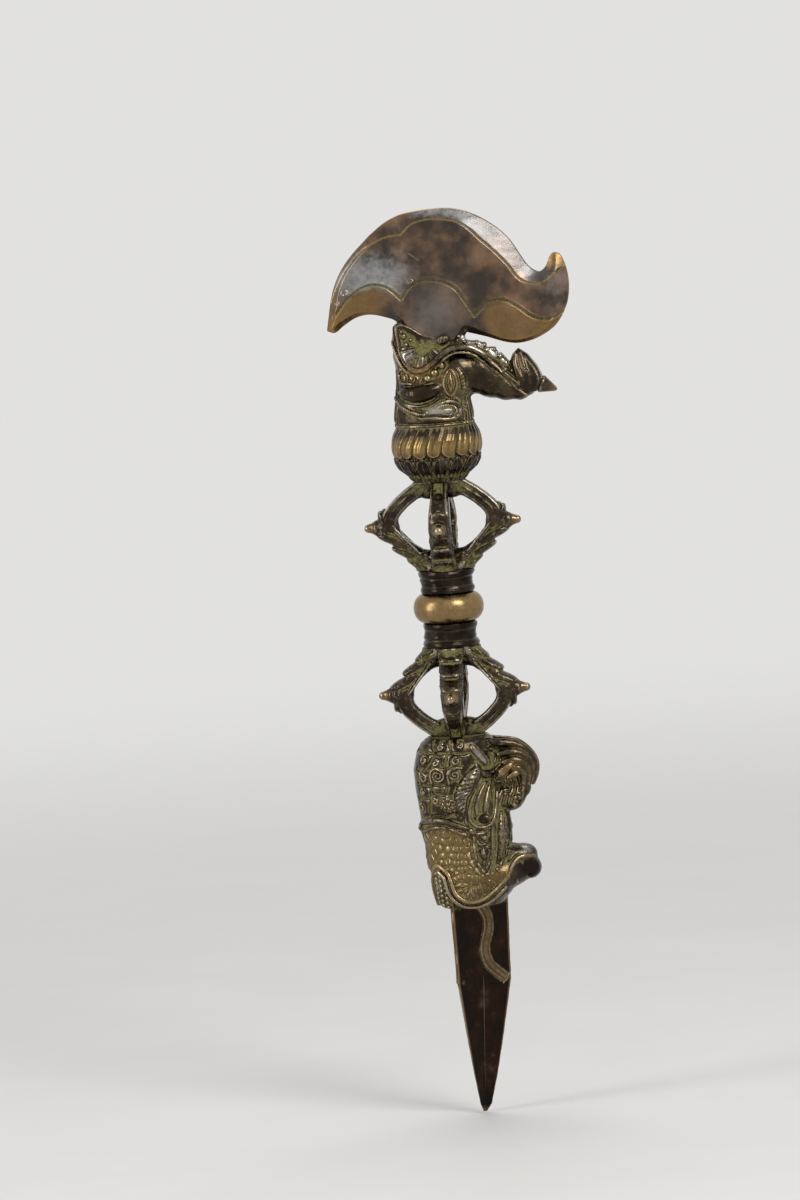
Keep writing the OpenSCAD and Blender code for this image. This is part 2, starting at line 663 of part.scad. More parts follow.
// Ornament on one side: ledge, horn, the ear's two rims and ridge, brow, leafed column, leaf and teeth
module lower_ornament() {
    lower_relief([for (k = [0 : 3]) [-13.4 + 4.2 * k, -26.7 - 4 * pow(k / 3, 1.6), 1.2]]);
    lower_relief([[5.2, -12.6, 1.1], [2.8, -15.6, 2.2], [0, -19.6, 2.2], [-2, -24, 1.1]], 6);
    lower_relief([[7.6, -15.2, 0.9], [4.7, -20.4, 1], [3.9, -26.4, 0.9]]);
    lower_relief([[9.3, -16.6, 0.8], [9.9, -21.2, 0.9], [8.5, -26.3, 1], [6, -28.9, 0.8]]);
    lower_relief([[7.5, -19, 0.8], [6.6, -22.6, 1.1], [6.1, -26, 0.9]]);
    lower_relief([[3.4, -4.9, 0.9], [5.5, -8.5, 1.2], [7.6, -10.6, 1]]);
    lower_relief([[12.7, -27.2, 1.3], [11.5, -32.8, 1.6], [11.1, -37.8, 1.1]], 6);
    lump([5.4, 0.4 - lower_skin(5.4, -38.8), -38.8], [2.2, 1.3, 4.2], 8);
    for (k = [0 : 2])
        let (x = -9 + 1.2 * k, z = -46.4 - 2.5 * k, y = 0.1 - lower_skin(x, z))
            tooth([x, y, z], [x + 1.7, y, z - 0.5], 2.2);
}

// Blade: edge radius at shares of its length, counted from the mouth to the point
blade_profile = [[0, 1], [0.38, 0.93], [0.62, 0.66], [0.8, 0.44], [0.965, 0.2], [1, 0.06]];
function blade_edge(share) = lookup(share, blade_profile) * edge_r;
function hollow_r(edge) = max(edge * 0.12, edge / 2 - min(hollow, edge * 0.2));
function blade_ring(share, z, grow) = [for (k = [0 : 5])
    let (r = k % 2 == 0 ? blade_edge(share) + 2 * grow : hollow_r(blade_edge(share)) + grow,
        a = blade_turn + 60 * k)
        [r * cos(a), r * sin(a), z]];

// The blade's body from its root inside the mouth to its point, grown by a gap where it cuts its seat
module blade_body(grow) {
    loft(concat(
        [for (i = [len(blade_profile) - 1 : -1 : 0])
            blade_ring(blade_profile[i][0], mouth_z - blade_l * blade_profile[i][0], grow)],
        [blade_ring(0, mouth_z + blade_seat + grow, grow)]));
}

module three_edged_blade() {
    color(russet) {
        blade_body(0);
        square_hole(blade_tang, mouth_z + blade_seat - 1, mouth_z + blade_seat + blade_tang_l);
    }
}

// Room in the lower head for the blade's root and its tang
module blade_pocket() {
    translate([0, 0, -lower_head_z]) {
        blade_body(tang_gap);
        square_hole(blade_tang + 2 * tang_gap, mouth_z, mouth_z + blade_seat + blade_tang_l + tang_gap);
    }
}

// Serpent: stations [place across the face, share of the blade's length, radius], -1 and 1 being the edges
serpent_route = [[-0.05, 0.005, 0.9], [0.24, 0.06, 1], [0.28, 0.13, 1], [0.14, 0.22, 1], [0.24, 0.3, 0.95],
    [0.62, 0.36, 0.85], [0.86, 0.385, 0.6]];

// A point on the face between the edge at the given turn and the next one
function face_point(across, share, turn) =
    let (edge = blade_edge(share),
        side = across < 0 ? -120 : 0,
        a = [edge * cos(turn + side), edge * sin(turn + side)],
        b = [hollow_r(edge) * cos(turn - 60), hollow_r(edge) * sin(turn - 60)],
        p = b + (a - b) * abs(across))
    [p[0], p[1], mouth_z - blade_l * share];

module serpent(turn) {
    color(golden)
        difference() {
            strand([for (s = curve(serpent_route, 2))
                concat(face_point(s[0], s[1], turn), [s[2] * serpent_d / 2])], 6);
            blade_body(0);
            translate([0, 0, mouth_z]) cylinder(h = 4, r = edge_r + 2);
        }
}

crescent_blade();
upper_head();
snout_jewel();
petal_collar();
leaf_collar();
upper_prong(-90);  // upper_prong_front
upper_prong(0);  // upper_prong_right
upper_prong(90);  // upper_prong_back
upper_prong(180);  // upper_prong_left
upper_neck();
grip_knob();
lower_neck();
lower_prong(-90);  // lower_prong_front
lower_prong(0);  // lower_prong_right
lower_prong(90);  // lower_prong_back
lower_prong(180);  // lower_prong_left
lower_head();
three_edged_blade();
serpent(blade_turn);  // front_serpent
serpent(blade_turn + 120);  // right_serpent
serpent(blade_turn + 240);  // left_serpent
core_rod();
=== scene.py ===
"""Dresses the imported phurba: heads, prongs, collars, crescent, blade and serpents, with their patina.

Lengths are in millimetres, in the part's own frame, and are turned into metres where a mesh is made. Lamps
are placed in metres. The heads are modelled like clay: a form is a field of distances on a grid, negative
inside, that other forms are merged into and cut out of, and the mesh is its surface."""
import math

import bpy
import numpy as np
import openvdb
from mathutils import Matrix, Vector


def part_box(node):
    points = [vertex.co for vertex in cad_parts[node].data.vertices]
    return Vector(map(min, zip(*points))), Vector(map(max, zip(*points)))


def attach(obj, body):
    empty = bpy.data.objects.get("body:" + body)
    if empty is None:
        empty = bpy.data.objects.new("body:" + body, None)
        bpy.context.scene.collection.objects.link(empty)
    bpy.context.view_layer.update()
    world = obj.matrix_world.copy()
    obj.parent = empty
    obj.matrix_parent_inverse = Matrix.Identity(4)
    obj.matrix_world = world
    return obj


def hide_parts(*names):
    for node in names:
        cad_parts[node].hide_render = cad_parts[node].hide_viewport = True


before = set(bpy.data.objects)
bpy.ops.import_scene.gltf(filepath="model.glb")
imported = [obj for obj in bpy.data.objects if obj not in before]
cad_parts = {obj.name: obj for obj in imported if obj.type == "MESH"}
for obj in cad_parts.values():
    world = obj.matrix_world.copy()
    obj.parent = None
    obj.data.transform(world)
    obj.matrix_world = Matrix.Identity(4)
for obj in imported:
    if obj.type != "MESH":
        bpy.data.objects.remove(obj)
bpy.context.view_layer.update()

MM = 0.001
FULL_TURN = 2 * math.pi


# The frame, in millimetres
def low(node):
    return np.array(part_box(node)[0]) / MM


def high(node):
    return np.array(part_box(node)[1]) / MM


knob_half = high("grip_knob")[2]
neck_top = high("upper_neck")[2]
neck_foot = low("lower_neck")[2]
leaf_z = low("leaf_collar")[2]
petal_z = low("petal_collar")[2]
upper_z = high("petal_collar")[2]
lower_z = high("lower_head")[2]
crescent_top = high("crescent_blade")[2]
knob_r = high("grip_knob")[0]
upper_tip_r = high("upper_prong_right")[0]
lower_tip_r = high("lower_prong_right")[0]
blade_tip_z = low("three_edged_blade")[2]
# The lower lip hangs this far under the place where the blade leaves the mouth
LIP_UNDER_MOUTH = 0.6
mouth_z = low("lower_head")[2] + LIP_UNDER_MOUTH


# Numbers, curves and two-dimensional distances
def unit(v):
    return np.clip(v, 0, 1)


def angles(count):
    return FULL_TURN * np.arange(count) / count


def curve(points, steps=8):
    """A smooth curve through points of any dimension."""
    p = np.array(points, float)
    out = []
    for i in range(len(p) - 1):
        a, b, c, d = p[max(i - 1, 0)], p[i], p[i + 1], p[min(i + 2, len(p) - 1)]
        for t in np.arange(steps) / steps:
            out.append(0.5 * (2 * b + (c - a) * t + (2 * a - 5 * b + 4 * c - d) * t**2
                              + (3 * b - a - 3 * c + d) * t**3))
    out.append(p[-1])
    return np.array(out)


def line_distance(u, v, points):
    """Distance from (u, v) to a broken line."""
    best = np.full(np.broadcast(u, v).shape, 1e3)
    for a, b in zip(points[:-1], points[1:]):
        ab = b[:2] - a[:2]
        t = unit(((u - a[0]) * ab[0] + (v - a[1]) * ab[1]) / max(ab @ ab, 1e-9))
        best = np.minimum(best, np.hypot(u - a[0] - ab[0] * t, v - a[1] - ab[1] * t))
    return best


def polygon_distance(u, v, points):
    """Signed distance to a closed outline, negative inside."""
    loop = np.vstack([points, points[:1]])
    d = line_distance(u, v, loop)
    inside = np.zeros(d.shape, bool)
    for a, b in zip(loop[:-1], loop[1:]):
        if a[1] == b[1]:
            continue
        crossing = (a[1] > v) != (b[1] > v)
        inside ^= crossing & (u < (b[0] - a[0]) * (v - a[1]) / (b[1] - a[1]) + a[0])
    return np.where(inside, -d, d)


def smooth_min(a, b, melt):
    if melt <= 0:
        return np.minimum(a, b)
    h = np.maximum(melt - np.abs(a - b), 0) / melt
    return np.minimum(a, b) - h * h * melt / 4


def beside(path, gap):
    """A line moved sideways, to its right, by a gap that may differ along it."""
    way = np.gradient(path[:, :2], axis=0)
    way /= np.hypot(way[:, 0], way[:, 1])[:, None]
    moved_line = np.array(path, float)
    moved_line[:, :2] += np.stack([way[:, 1], -way[:, 0]], 1) * gap
    return moved_line


def edge_path(line, lift, radius):
    """Stations of a tube that runs along a line of [x, z, half depth], lifted a little from that depth."""
    return [[x, lift - deep, z, radius] for x, z, deep in line]


def small_ring(x, z, radius):
    return [(x + radius * math.cos(a), z + radius * math.sin(a)) for a in np.linspace(0, FULL_TURN, 9)]


class Relief:
    """Heights over a flat sheet, which is pressed into the sides of a form."""

    def __init__(self, corner, far, step=0.12):
        self.corner, self.step = np.array(corner, float), step
        count = np.ceil((np.array(far) - self.corner) / step).astype(int) + 1
        self.h = np.zeros(count, np.float32)

    def patch(self, points, reach):
        """The cells within reach of the points, and their places on the sheet."""
        p = np.array(points, float)[:, :2]
        first = np.clip(np.floor((p.min(0) - reach - self.corner) / self.step).astype(int), 0, None)
        last = np.minimum(np.ceil((p.max(0) + reach - self.corner) / self.step).astype(int) + 1, self.h.shape)
        last = np.maximum(last, first)
        u = self.corner[0] + self.step * np.arange(first[0], last[0])[:, None]
        v = self.corner[1] + self.step * np.arange(first[1], last[1])[None, :]
        return (slice(first[0], last[0]), slice(first[1], last[1])), u, v

    def raise_to(self, area, height):
        self.h[area] = np.maximum(self.h[area], height)

    def stroke(self, points, width, height):
        """A rounded ridge."""
        area, u, v = self.patch(points, width * 1.5)
        d = line_distance(u, v, np.array(points, float))
        half = width / 2
        self.raise_to(area, np.where(d < half, height * np.sqrt(unit(1 - (d / half) ** 2)), -9))

    def groove(self, points, width, depth):
        area, u, v = self.patch(points, width * 1.5)
        d = line_distance(u, v, np.array(points, float))
        self.h[area] -= depth * np.exp(-(d / width * 1.9) ** 2)

    def dome(self, at, size, height, turn=0.0):
        """A lump; its size is a radius or a pair of them, turned by degrees."""
        a, b = size if np.ndim(size) else (size, size)
        area, u, v = self.patch([at], max(a, b) * 1.1)
        c, s = math.cos(math.radians(turn)), math.sin(math.radians(turn))
        du, dv = u - at[0], v - at[1]
        q = ((du * c + dv * s) / a) ** 2 + ((dv * c - du * s) / b) ** 2
        self.raise_to(area, height * np.sqrt(unit(1 - q)))

    def spiral(self, at, radius, turns, width, height, hand):
        """A curl that starts at its top and winds inward; hand 1 is against the clock."""
        k = np.linspace(0, 1, int(16 * turns) + 4)
        a = math.pi / 2 + hand * FULL_TURN * turns * k
        r = radius * (1 - k) + 0.15 * radius * k
        self.stroke(np.stack([at[0] + r * np.cos(a), at[1] + r * np.sin(a)], 1), width, height)

    def sample(self, u, v):
        fu = np.clip((u - self.corner[0]) / self.step, 0, self.h.shape[0] - 1.001)
        fv = np.clip((v - self.corner[1]) / self.step, 0, self.h.shape[1] - 1.001)
        iu, iv = fu.astype(int), fv.astype(int)
        fu, fv = fu - iu, fv - iv
        h = self.h
        return ((h[iu, iv] * (1 - fu) + h[iu + 1, iv] * fu) * (1 - fv)
                + (h[iu, iv + 1] * (1 - fu) + h[iu + 1, iv + 1] * fu) * fv)


# Distances of clay: empty space, the band that is smoothed, the depth a relief reaches, and two soft spans
FAR = 30.0
NEAR = 3
PRESS_REACH = 2.5
FINE_REACH, BROAD_REACH = 0.7, 2.2


class Clay:
    """A solid as a field of distances. With mirror on, both halves take what is put on the front half."""

    def __init__(self, corner, far, step, mirror=True):
        self.corner, self.step, self.mirror = np.array(corner, float), step, mirror
        count = np.ceil((np.array(far) - self.corner) / step).astype(int) + 1
        self.d = np.full(count, FAR, np.float32)

    def axes(self, first, last):
        x, y, z = (self.corner[i] + self.step * np.arange(first[i], last[i]) for i in range(3))
        if self.mirror:
            y = -np.abs(y)
        return x[:, None, None], y[None, :, None], z[None, None, :]

    def window(self, box_low, box_high, pad=2.0):
        """The cells in a padded box, and their places."""
        lo, hi = np.array(box_low, float) - pad, np.array(box_high, float) + pad
        if self.mirror:
            lo[1] = min(lo[1], -hi[1])
            hi[1] = max(hi[1], -lo[1])
        first = np.clip(np.floor((lo - self.corner) / self.step).astype(int), 0, None)
        last = np.minimum(np.ceil((hi - self.corner) / self.step).astype(int) + 1, self.d.shape)
        last = np.maximum(last, first)
        return tuple(slice(a, b) for a, b in zip(first, last)), self.axes(first, last)

    def put(self, shape, box_low, box_high, melt=0.6):
        area, (x, y, z) = self.window(box_low, box_high)
        self.d[area] = smooth_min(self.d[area], shape(x, y, z), melt)

    def cut(self, keep):
        """Keeps only what lies inside keep(x, y, z), a distance over the whole block."""
        self.d = np.maximum(self.d, keep(*self.axes((0, 0, 0), self.d.shape))).astype(np.float32)

    def ball(self, at, size, melt=0.5, lean=0.0):
        """An oval lump; its size is a radius, or one each in x, y and z, leaning by degrees."""
        size = size if np.ndim(size) else (size, size, size)
        self.put(lambda x, y, z: oval(x, y, z, at, size, lean), np.array(at) - max(size),
                 np.array(at) + max(size), melt)

    def tube(self, path, melt=0.5, carve=False):
        """A round bar, or a groove, through stations [x, y, z, radius]."""
        p = np.array(path, float)
        reach = p[:, 3].max()
        area, _ = self.window(p[:, :3].min(0) - reach, p[:, :3].max(0) + reach, 1.4)
        start = np.array([s.start for s in area])
        best = np.full([s.stop - s.start for s in area], 9.0, np.float32)
        for a, b in zip(p[:-1], p[1:]):
            near = max(a[3], b[3])
            part, (x, y, z) = self.window(np.minimum(a, b)[:3] - near, np.maximum(a, b)[:3] + near, 1.4)
            inner = tuple(slice(max(s.start - o, 0), max(s.stop - o, 0)) for s, o in zip(part, start))
            best[inner] = np.minimum(best[inner], bar(x, y, z, a, b))
        if carve:
            self.d[area] = -smooth_min(-self.d[area], best, melt)
        else:
            self.d[area] = smooth_min(self.d[area], best, melt)

    def limb(self, path, melt=1.0, square=2.0):
        """A form on the middle plane through stations [x, z, half height, half depth]."""
        p = np.array(path, float)
        reach = p[:, 2:].max()
        lo = [p[:, 0].min() - reach, -p[:, 3].max(), p[:, 1].min() - reach]
        hi = [p[:, 0].max() + reach, p[:, 3].max(), p[:, 1].max() + reach]
        self.put(lambda x, y, z: limb_distance(x, y, z, p, square), lo, hi, melt)

    def slab(self, outline, deep, melt=0.4, edge=0.8):
        """A plate on the middle plane: an outline in x and z, and its half depth as a function of x and z."""
        loop = np.array(outline, float)
        lo, hi = loop.min(0), loop.max(0)
        self.put(lambda x, y, z: -smooth_min(-polygon_distance(x, z, loop), deep(x, z) - np.abs(y), edge),
                 [lo[0], -5, lo[1]], [hi[0], 5, hi[1]], melt)

    def measure(self):
        """Notes where the front surface lies, for forms that are then drawn on it."""
        inside = self.d < 0
        first = inside.argmax(axis=1)
        before = np.maximum(first - 1, 0)
        a = np.take_along_axis(self.d, before[:, None, :], 1)[:, 0]
        b = np.take_along_axis(self.d, first[:, None, :], 1)[:, 0]
        share = unit(a / np.maximum(a - b, 1e-6))
        y = self.corner[1] + self.step * (before + share)
        self.front = np.where(inside.any(axis=1), y, 0.0)

    def front_at(self, x, z):
        fx = np.clip((x - self.corner[0]) / self.step, 0, self.front.shape[0] - 1.001)
        fz = np.clip((z - self.corner[2]) / self.step, 0, self.front.shape[1] - 1.001)
        ix, iz = int(fx), int(fz)
        block = self.front[ix:ix + 2, iz:iz + 2]
        wx, wz = np.array([1 - fx + ix, fx - ix]), np.array([1 - fz + iz, fz - iz])
        return float(wx @ block @ wz)

    def draw(self, points, sunk=0.3, melt=0.25, carve=False, steps=4):
        """A rounded ridge, or a groove, along stations [x, z, radius] on the front surface."""
        p = curve(points, steps) if steps > 1 else np.array(points, float)
        lift = min(sunk, 0) if carve else sunk
        self.tube([[s[0], self.front_at(s[0], s[1]) + lift, s[1], s[2]] for s in p], melt, carve=carve)

    def bead(self, x, z, size, sunk=0.2, melt=0.2, lean=0.0):
        self.ball([x, self.front_at(x, z) + sunk, z], size, melt, lean)

    def press(self, relief, column):
        """Raises the surface by the relief's heights, with the relief wrapped round a column."""
        x, y, z = self.axes((0, 0, 0), self.d.shape)
        where = np.nonzero(np.abs(self.d) < PRESS_REACH)
        px, py, pz = x[where[0], 0, 0], y[0, where[1], 0], z[0, 0, where[2]]
        self.d[where] -= relief.sample(column.unrolled(px, py, pz), pz).astype(np.float32)

    def roughen(self, amount, size):
        """Makes the surface a little uneven, as a hand-finished casting is."""
        x, y, z = self.axes((0, 0, 0), self.d.shape)
        k = FULL_TURN / size
        wave = (np.sin(k * (x + 0.6 * z)) * np.sin(k * 0.83 * (y + 0.4 * x) + 1.3)
                + np.sin(k * 1.7 * (z - 0.3 * x) + 0.4) * np.sin(k * 1.9 * (y + 0.7 * z)) * 0.6)
        self.d += (amount * wave).astype(np.float32)

    def surface(self):
        """Vertices in millimetres, faces, and how hollow the surface is at each vertex, fine and broad."""
        grid = openvdb.FloatGrid(FAR)
        grid.copyFromArray(self.d)
        points, quads = grid.convertToQuads(0.0)
        near = np.clip(self.d, -NEAR, NEAR)
        fine, broad = (-at_points(blurred(near, max(1, round(reach / self.step))), points)
                       for reach in (FINE_REACH, BROAD_REACH))
        return points * self.step + self.corner, quads, fine, broad


def blurred(field, reach):
    """Mean over a cube of the given reach in cells."""
    out = field.astype(np.float32)
    for axis in range(3):
        padded = np.pad(out, [(reach + 1, reach) if a == axis else (0, 0) for a in range(3)], mode="edge")
        total = np.cumsum(padded, axis=axis, dtype=np.float64)
        n = out.shape[axis]
        after = np.take(total, range(2 * reach + 1, 2 * reach + 1 + n), axis=axis)
        before = np.take(total, range(0, n), axis=axis)
        out = ((after - before) / (2 * reach + 1)).astype(np.float32)
    return out


def at_points(field, points):
    """The field's value at places in grid units, blended between cells."""
    limit = np.array(field.shape) - 1.001
    p = np.clip(points, 0, limit)
    i = p.astype(int)
    f = p - i
    total = 0
    for corner in range(8):
        o = [(corner >> a) & 1 for a in range(3)]
        weight = np.prod([f[:, a] if o[a] else 1 - f[:, a] for a in range(3)], axis=0)
        total = total + weight * field[i[:, 0] + o[0], i[:, 1] + o[1], i[:, 2] + o[2]]
    return total


def oval(x, y, z, at, size, lean=0.0):
    c, s = math.cos(math.radians(lean)), math.sin(math.radians(lean))
    dx, dy, dz = x - at[0], y - at[1], z - at[2]
    px, py, pz = dx * c - dz * s, dy, dx * s + dz * c
    k0 = np.sqrt((px / size[0]) ** 2 + (py / size[1]) ** 2 + (pz / size[2]) ** 2)
    k1 = np.sqrt((px / size[0] ** 2) ** 2 + (py / size[1] ** 2) ** 2 + (pz / size[2] ** 2) ** 2)
    return k0 * (k0 - 1) / np.maximum(k1, 1e-6)


def bar(x, y, z, a, b):
    """Distance to a tapering bar from a to b, each of which is x, y, z and a radius."""
    ab = b[:3] - a[:3]
    px, py, pz = x - a[0], y - a[1], z - a[2]
    t = unit((px * ab[0] + py * ab[1] + pz * ab[2]) / max(ab @ ab, 1e-9))
    far = np.sqrt((px - ab[0] * t) ** 2 + (py - ab[1] * t) ** 2 + (pz - ab[2] * t) ** 2)
    return far - (a[3] + (b[3] - a[3]) * t)


def limb_distance(x, y, z, p, square):
    best = None
    for a, b in zip(p[:-1], p[1:]):
        ab = b[:2] - a[:2]
        t = unit(((x - a[0]) * ab[0] + (z - a[1]) * ab[1]) / max(ab @ ab, 1e-9))
        r = a[2] + (b[2] - a[2]) * t
        deep = a[3] + (b[3] - a[3]) * t
        across = np.hypot(x - a[0] - ab[0] * t, z - a[1] - ab[1] * t)
        reach = ((across / r) ** square + (np.abs(y) / deep) ** square) ** (1 / square)
        d = (reach - 1) * np.minimum(r, deep)
        best = d if best is None else smooth_min(best, d, 0.8)
    return best


# The radius on which reliefs are laid out flat
UNROLL_R = 12


class Column:
    """An upright oval form from a table of [height, left, right, half depth]."""

    def __init__(self, table):
        self.t = np.array(sorted(table), float)

    def at(self, z):
        left, right, deep = (np.interp(z, self.t[:, 0], self.t[:, k]) for k in (1, 2, 3))
        return (left + right) / 2, (right - left) / 2, deep

    def distance(self, x, y, z):
        mid, half, deep = self.at(z)
        d = (np.sqrt(((x - mid) / half) ** 2 + (y / deep) ** 2) - 1) * np.minimum(half, deep)
        return np.maximum(d, np.maximum(z - self.t[-1, 0], self.t[0, 0] - z))

    def unrolled(self, x, y, z):
        """Length round the form from its front line, positive to the right."""
        mid, half, deep = self.at(z)
        return UNROLL_R * np.arctan2((x - mid) / half, np.abs(y) / deep)

    def unrolled_points(self, points):
        """The same for points of [x, z] on the front surface."""
        p = np.array(points, float)
        mid, half, _ = self.at(p[:, 1])
        p[:, 0] = UNROLL_R * np.arcsin(np.clip((p[:, 0] - mid) / half, -1, 1))
        return p


# Meshes
# A piece is called after its node, apart from these
FORM_NAMES = {"crescent_blade": "crescent_form", "three_edged_blade": "blade_form"}
# The span over which a turned form is smoothed to find its hollows
BLUR_REACH = 0.8


def new_mesh(node):
    return bpy.data.meshes.new(FORM_NAMES.get(node, node + "_form"))


def dressed(mesh, node, material, attributes):
    """Makes a piece that stands for a node and rides the body. Attributes are one value a point."""
    mesh.polygons.foreach_set("use_smooth", np.ones(len(mesh.polygons), bool))
    for label, values in attributes:
        made = mesh.attributes.new(label, "FLOAT", "POINT")
        made.data.foreach_set("value", np.asarray(values, np.float32))
    mesh.materials.append(material)
    obj = bpy.data.objects.new(mesh.name, mesh)
    bpy.context.scene.collection.objects.link(obj)
    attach(obj, "root")
    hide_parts(node)
    return obj


def clay_piece(node, surface, slot, material, place, **masks):
    """Makes a piece from a surface, put in its place; the masks are functions of x, y and z before that."""
    verts, faces, fine, broad = surface
    mesh = new_mesh(node)
    mesh.vertices.add(len(verts))
    mesh.vertices.foreach_set("co", (np.asarray(place(verts), np.float32) * MM).ravel())
    mesh.loops.add(faces.size)
    mesh.loops.foreach_set("vertex_index", np.asarray(faces, np.int32).ravel())
    mesh.polygons.add(len(faces))
    mesh.polygons.foreach_set("loop_start", np.arange(0, faces.size, faces.shape[1], dtype=np.int32))
    mesh.update(calc_edges=True)
    mesh.validate()
    values = [(label, mask(*verts.T)) for label, mask in masks.items()]
    return dressed(mesh, node, material, [("hollow", fine), ("deep", broad), *values])


def moved(z):
    return lambda v: v + np.array([0, 0, z])


def turned(degrees, z=0.0, flip=False):
    """Turns places about the upright axis, after mirroring them top to bottom where flip is on."""
    c, s = math.cos(math.radians(degrees)), math.sin(math.radians(degrees))

    def place(v):
        up = -v[:, 2] if flip else v[:, 2]
        return np.stack([v[:, 0] * c - v[:, 1] * s, v[:, 0] * s + v[:, 1] * c, up + z], 1)
    return place


def within(x, z, outline, edge):
    """A soft mask on the side view: 1 inside the outline, fading to 0 over the edge's width."""
    return unit(0.5 - polygon_distance(x, z, np.array(outline, float)) / edge)


def spot(x, z, strength, at_x, at_z, wide, tall):
    """An oval soft mask: its strength at the middle, less 1 at the given half width and half height."""
    return unit(strength - np.hypot((x - at_x) / wide, (z - at_z) / tall))


def ring_piece(node, rings, slot, material, **values):
    """A closed form from rings of equal counts, each end drawn in to its middle; values are one a point."""
    rows, count = rings.shape[:2]
    verts = np.vstack([rings[0].mean(0)[None], rings.reshape(-1, 3), rings[-1].mean(0)[None]])
    i, k = np.meshgrid(np.arange(rows - 1), np.arange(count), indexing="ij")
    a, b = i * count + k + 1, i * count + (k + 1) % count + 1
    quads = np.stack([a, b, b + count, a + count], -1).reshape(-1, 4)
    k = np.arange(count)
    tail = len(verts) - 1
    near = np.stack([0 * k, (k + 1) % count + 1, k + 1], 1)
    far = np.stack([tail + 0 * k, tail - count + k, tail - count + (k + 1) % count], 1)
    mesh = new_mesh(node)
    mesh.from_pydata((verts * MM).tolist(), [], quads.tolist() + near.tolist() + far.tolist())
    mesh.update()
    whole = []
    for label, value in values.items():
        value = np.broadcast_to(value, (rows, count)).ravel()
        whole.append((label, np.concatenate([value[:1], value, value[-1:]])))
    return dressed(mesh, node, material, whole)


def turned_piece(node, radius, heights, slot, material, place, gold=0, grime=0):
    """A turned form: radius is one row of radii round the axis for each height."""
    count = radius.shape[1]
    a = angles(count)
    up = np.broadcast_to(heights[:, None], radius.shape)
    rings = np.stack([radius * np.cos(a), radius * np.sin(a), up], -1)
    rows = max(1, round(BLUR_REACH / (heights[1] - heights[0])))
    columns = max(1, round(BLUR_REACH * count / (FULL_TURN * radius.mean())))
    fine = flat_blur(radius, rows, columns) - radius
    broad = flat_blur(radius, 3 * rows, 3 * columns) - radius
    return ring_piece(node, place(rings.reshape(-1, 3)).reshape(rings.shape), slot, material,
                      hollow=0.8 * fine, deep=broad, gold=gold, grime=grime)


def flat_blur(values, rows, columns):
    """Mean over a patch of a sheet that closes on itself sideways."""
    out = np.zeros_like(values)
    for k in range(-columns, columns + 1):
        out += np.roll(values, k, axis=1)
    out /= 2 * columns + 1
    padded = np.pad(out, [(rows, rows), (0, 0)], mode="edge")
    total = np.zeros_like(out)
    for k in range(2 * rows + 1):
        total += padded[k:k + len(out)]
    return total / (2 * rows + 1)


# Materials
class Nodes:
    """A short way to write the nodes of a material or world. Values are numbers, colours or other outputs."""

    def __init__(self, owner):
        owner.use_nodes = True
        self.owner, self.tree = owner, owner.node_tree

    def feed(self, node, values):
        """Gives a node's inputs their values."""
        for key, value in values.items():
            socket = node.inputs[key]
            if isinstance(value, (int, float)):
                socket.default_value = value
            elif isinstance(value, tuple):
                socket.default_value = (*value, 1)
            else:
                self.tree.links.new(value, socket)
        return node

    def node(self, kind, values=None, **settings):
        made = self.tree.nodes.new(kind)
        for key, value in settings.items():
            setattr(made, key, value)
        return self.feed(made, values or {})

    def place(self):
        return self.node("ShaderNodeTexCoord").outputs["Object"]

    def attribute(self, name):
        return self.node("ShaderNodeAttribute", attribute_name=name).outputs["Fac"]

    def noise(self, size, detail, rough=0.55):
        """Noise whose features are about size millimetres across."""
        values = {"Scale": 1 / (size * MM), "Detail": detail, "Roughness": rough, "Vector": self.place()}
        return self.node("ShaderNodeTexNoise", values).outputs["Fac"]

    def ramp(self, value, start, end, low_to=0.0, high_to=1.0):
        values = {"Value": value, "From Min": start, "From Max": end, "To Min": low_to, "To Max": high_to}
        return self.node("ShaderNodeMapRange", values, interpolation_type="SMOOTHSTEP").outputs["Result"]

    def plus(self, a, b):
        return self.node("ShaderNodeMath", {0: a, 1: b}, operation="ADD").outputs[0]

    def times(self, a, b):
        return self.node("ShaderNodeMath", {0: a, 1: b}, operation="MULTIPLY").outputs[0]

    def mix(self, factor, a, b):
        """A colour between a and b."""
        return self.node("ShaderNodeMix", {"Factor": factor, 6: a, 7: b}, data_type="RGBA").outputs[2]

    def blend(self, factor, a, b):
        """A number between a and b."""
        return self.node("ShaderNodeMix", {"Factor": factor, 2: a, 3: b}, data_type="FLOAT").outputs[0]


VERDIGRIS = (0.098, 0.085, 0.024)
PALE_VERDIGRIS = (0.26, 0.228, 0.074)
DARK_BRONZE = (0.034, 0.025, 0.018)
WARM_BRONZE = (0.075, 0.048, 0.03)
OLIVE_BRONZE = (0.07, 0.052, 0.03)
# Light bronze for worn ridges, made light enough to be their painted highlight as well
WORN_BRONZE_AND_HIGHLIGHT = (0.4, 0.31, 0.2)
WORN_BRASS = (0.24, 0.16, 0.08)
BRIGHT_BRASS = (0.38, 0.26, 0.125)
PALE_METAL = (0.42, 0.395, 0.35)
BLACK_METAL = (0.014, 0.011, 0.009)
RUSSET = (0.23, 0.142, 0.088)
BROWN = (0.062, 0.05, 0.043)
DEEP_RUSSET = (0.03, 0.014, 0.009)
PURPLE_BROWN = (0.024, 0.016, 0.013)
STEEL_GREY = (0.125, 0.123, 0.12)
GREY_METAL = (0.32, 0.32, 0.315)
# Near-black brown, painted into the narrowest crevices as shade
SHADE = (0.02, 0.013, 0.007)


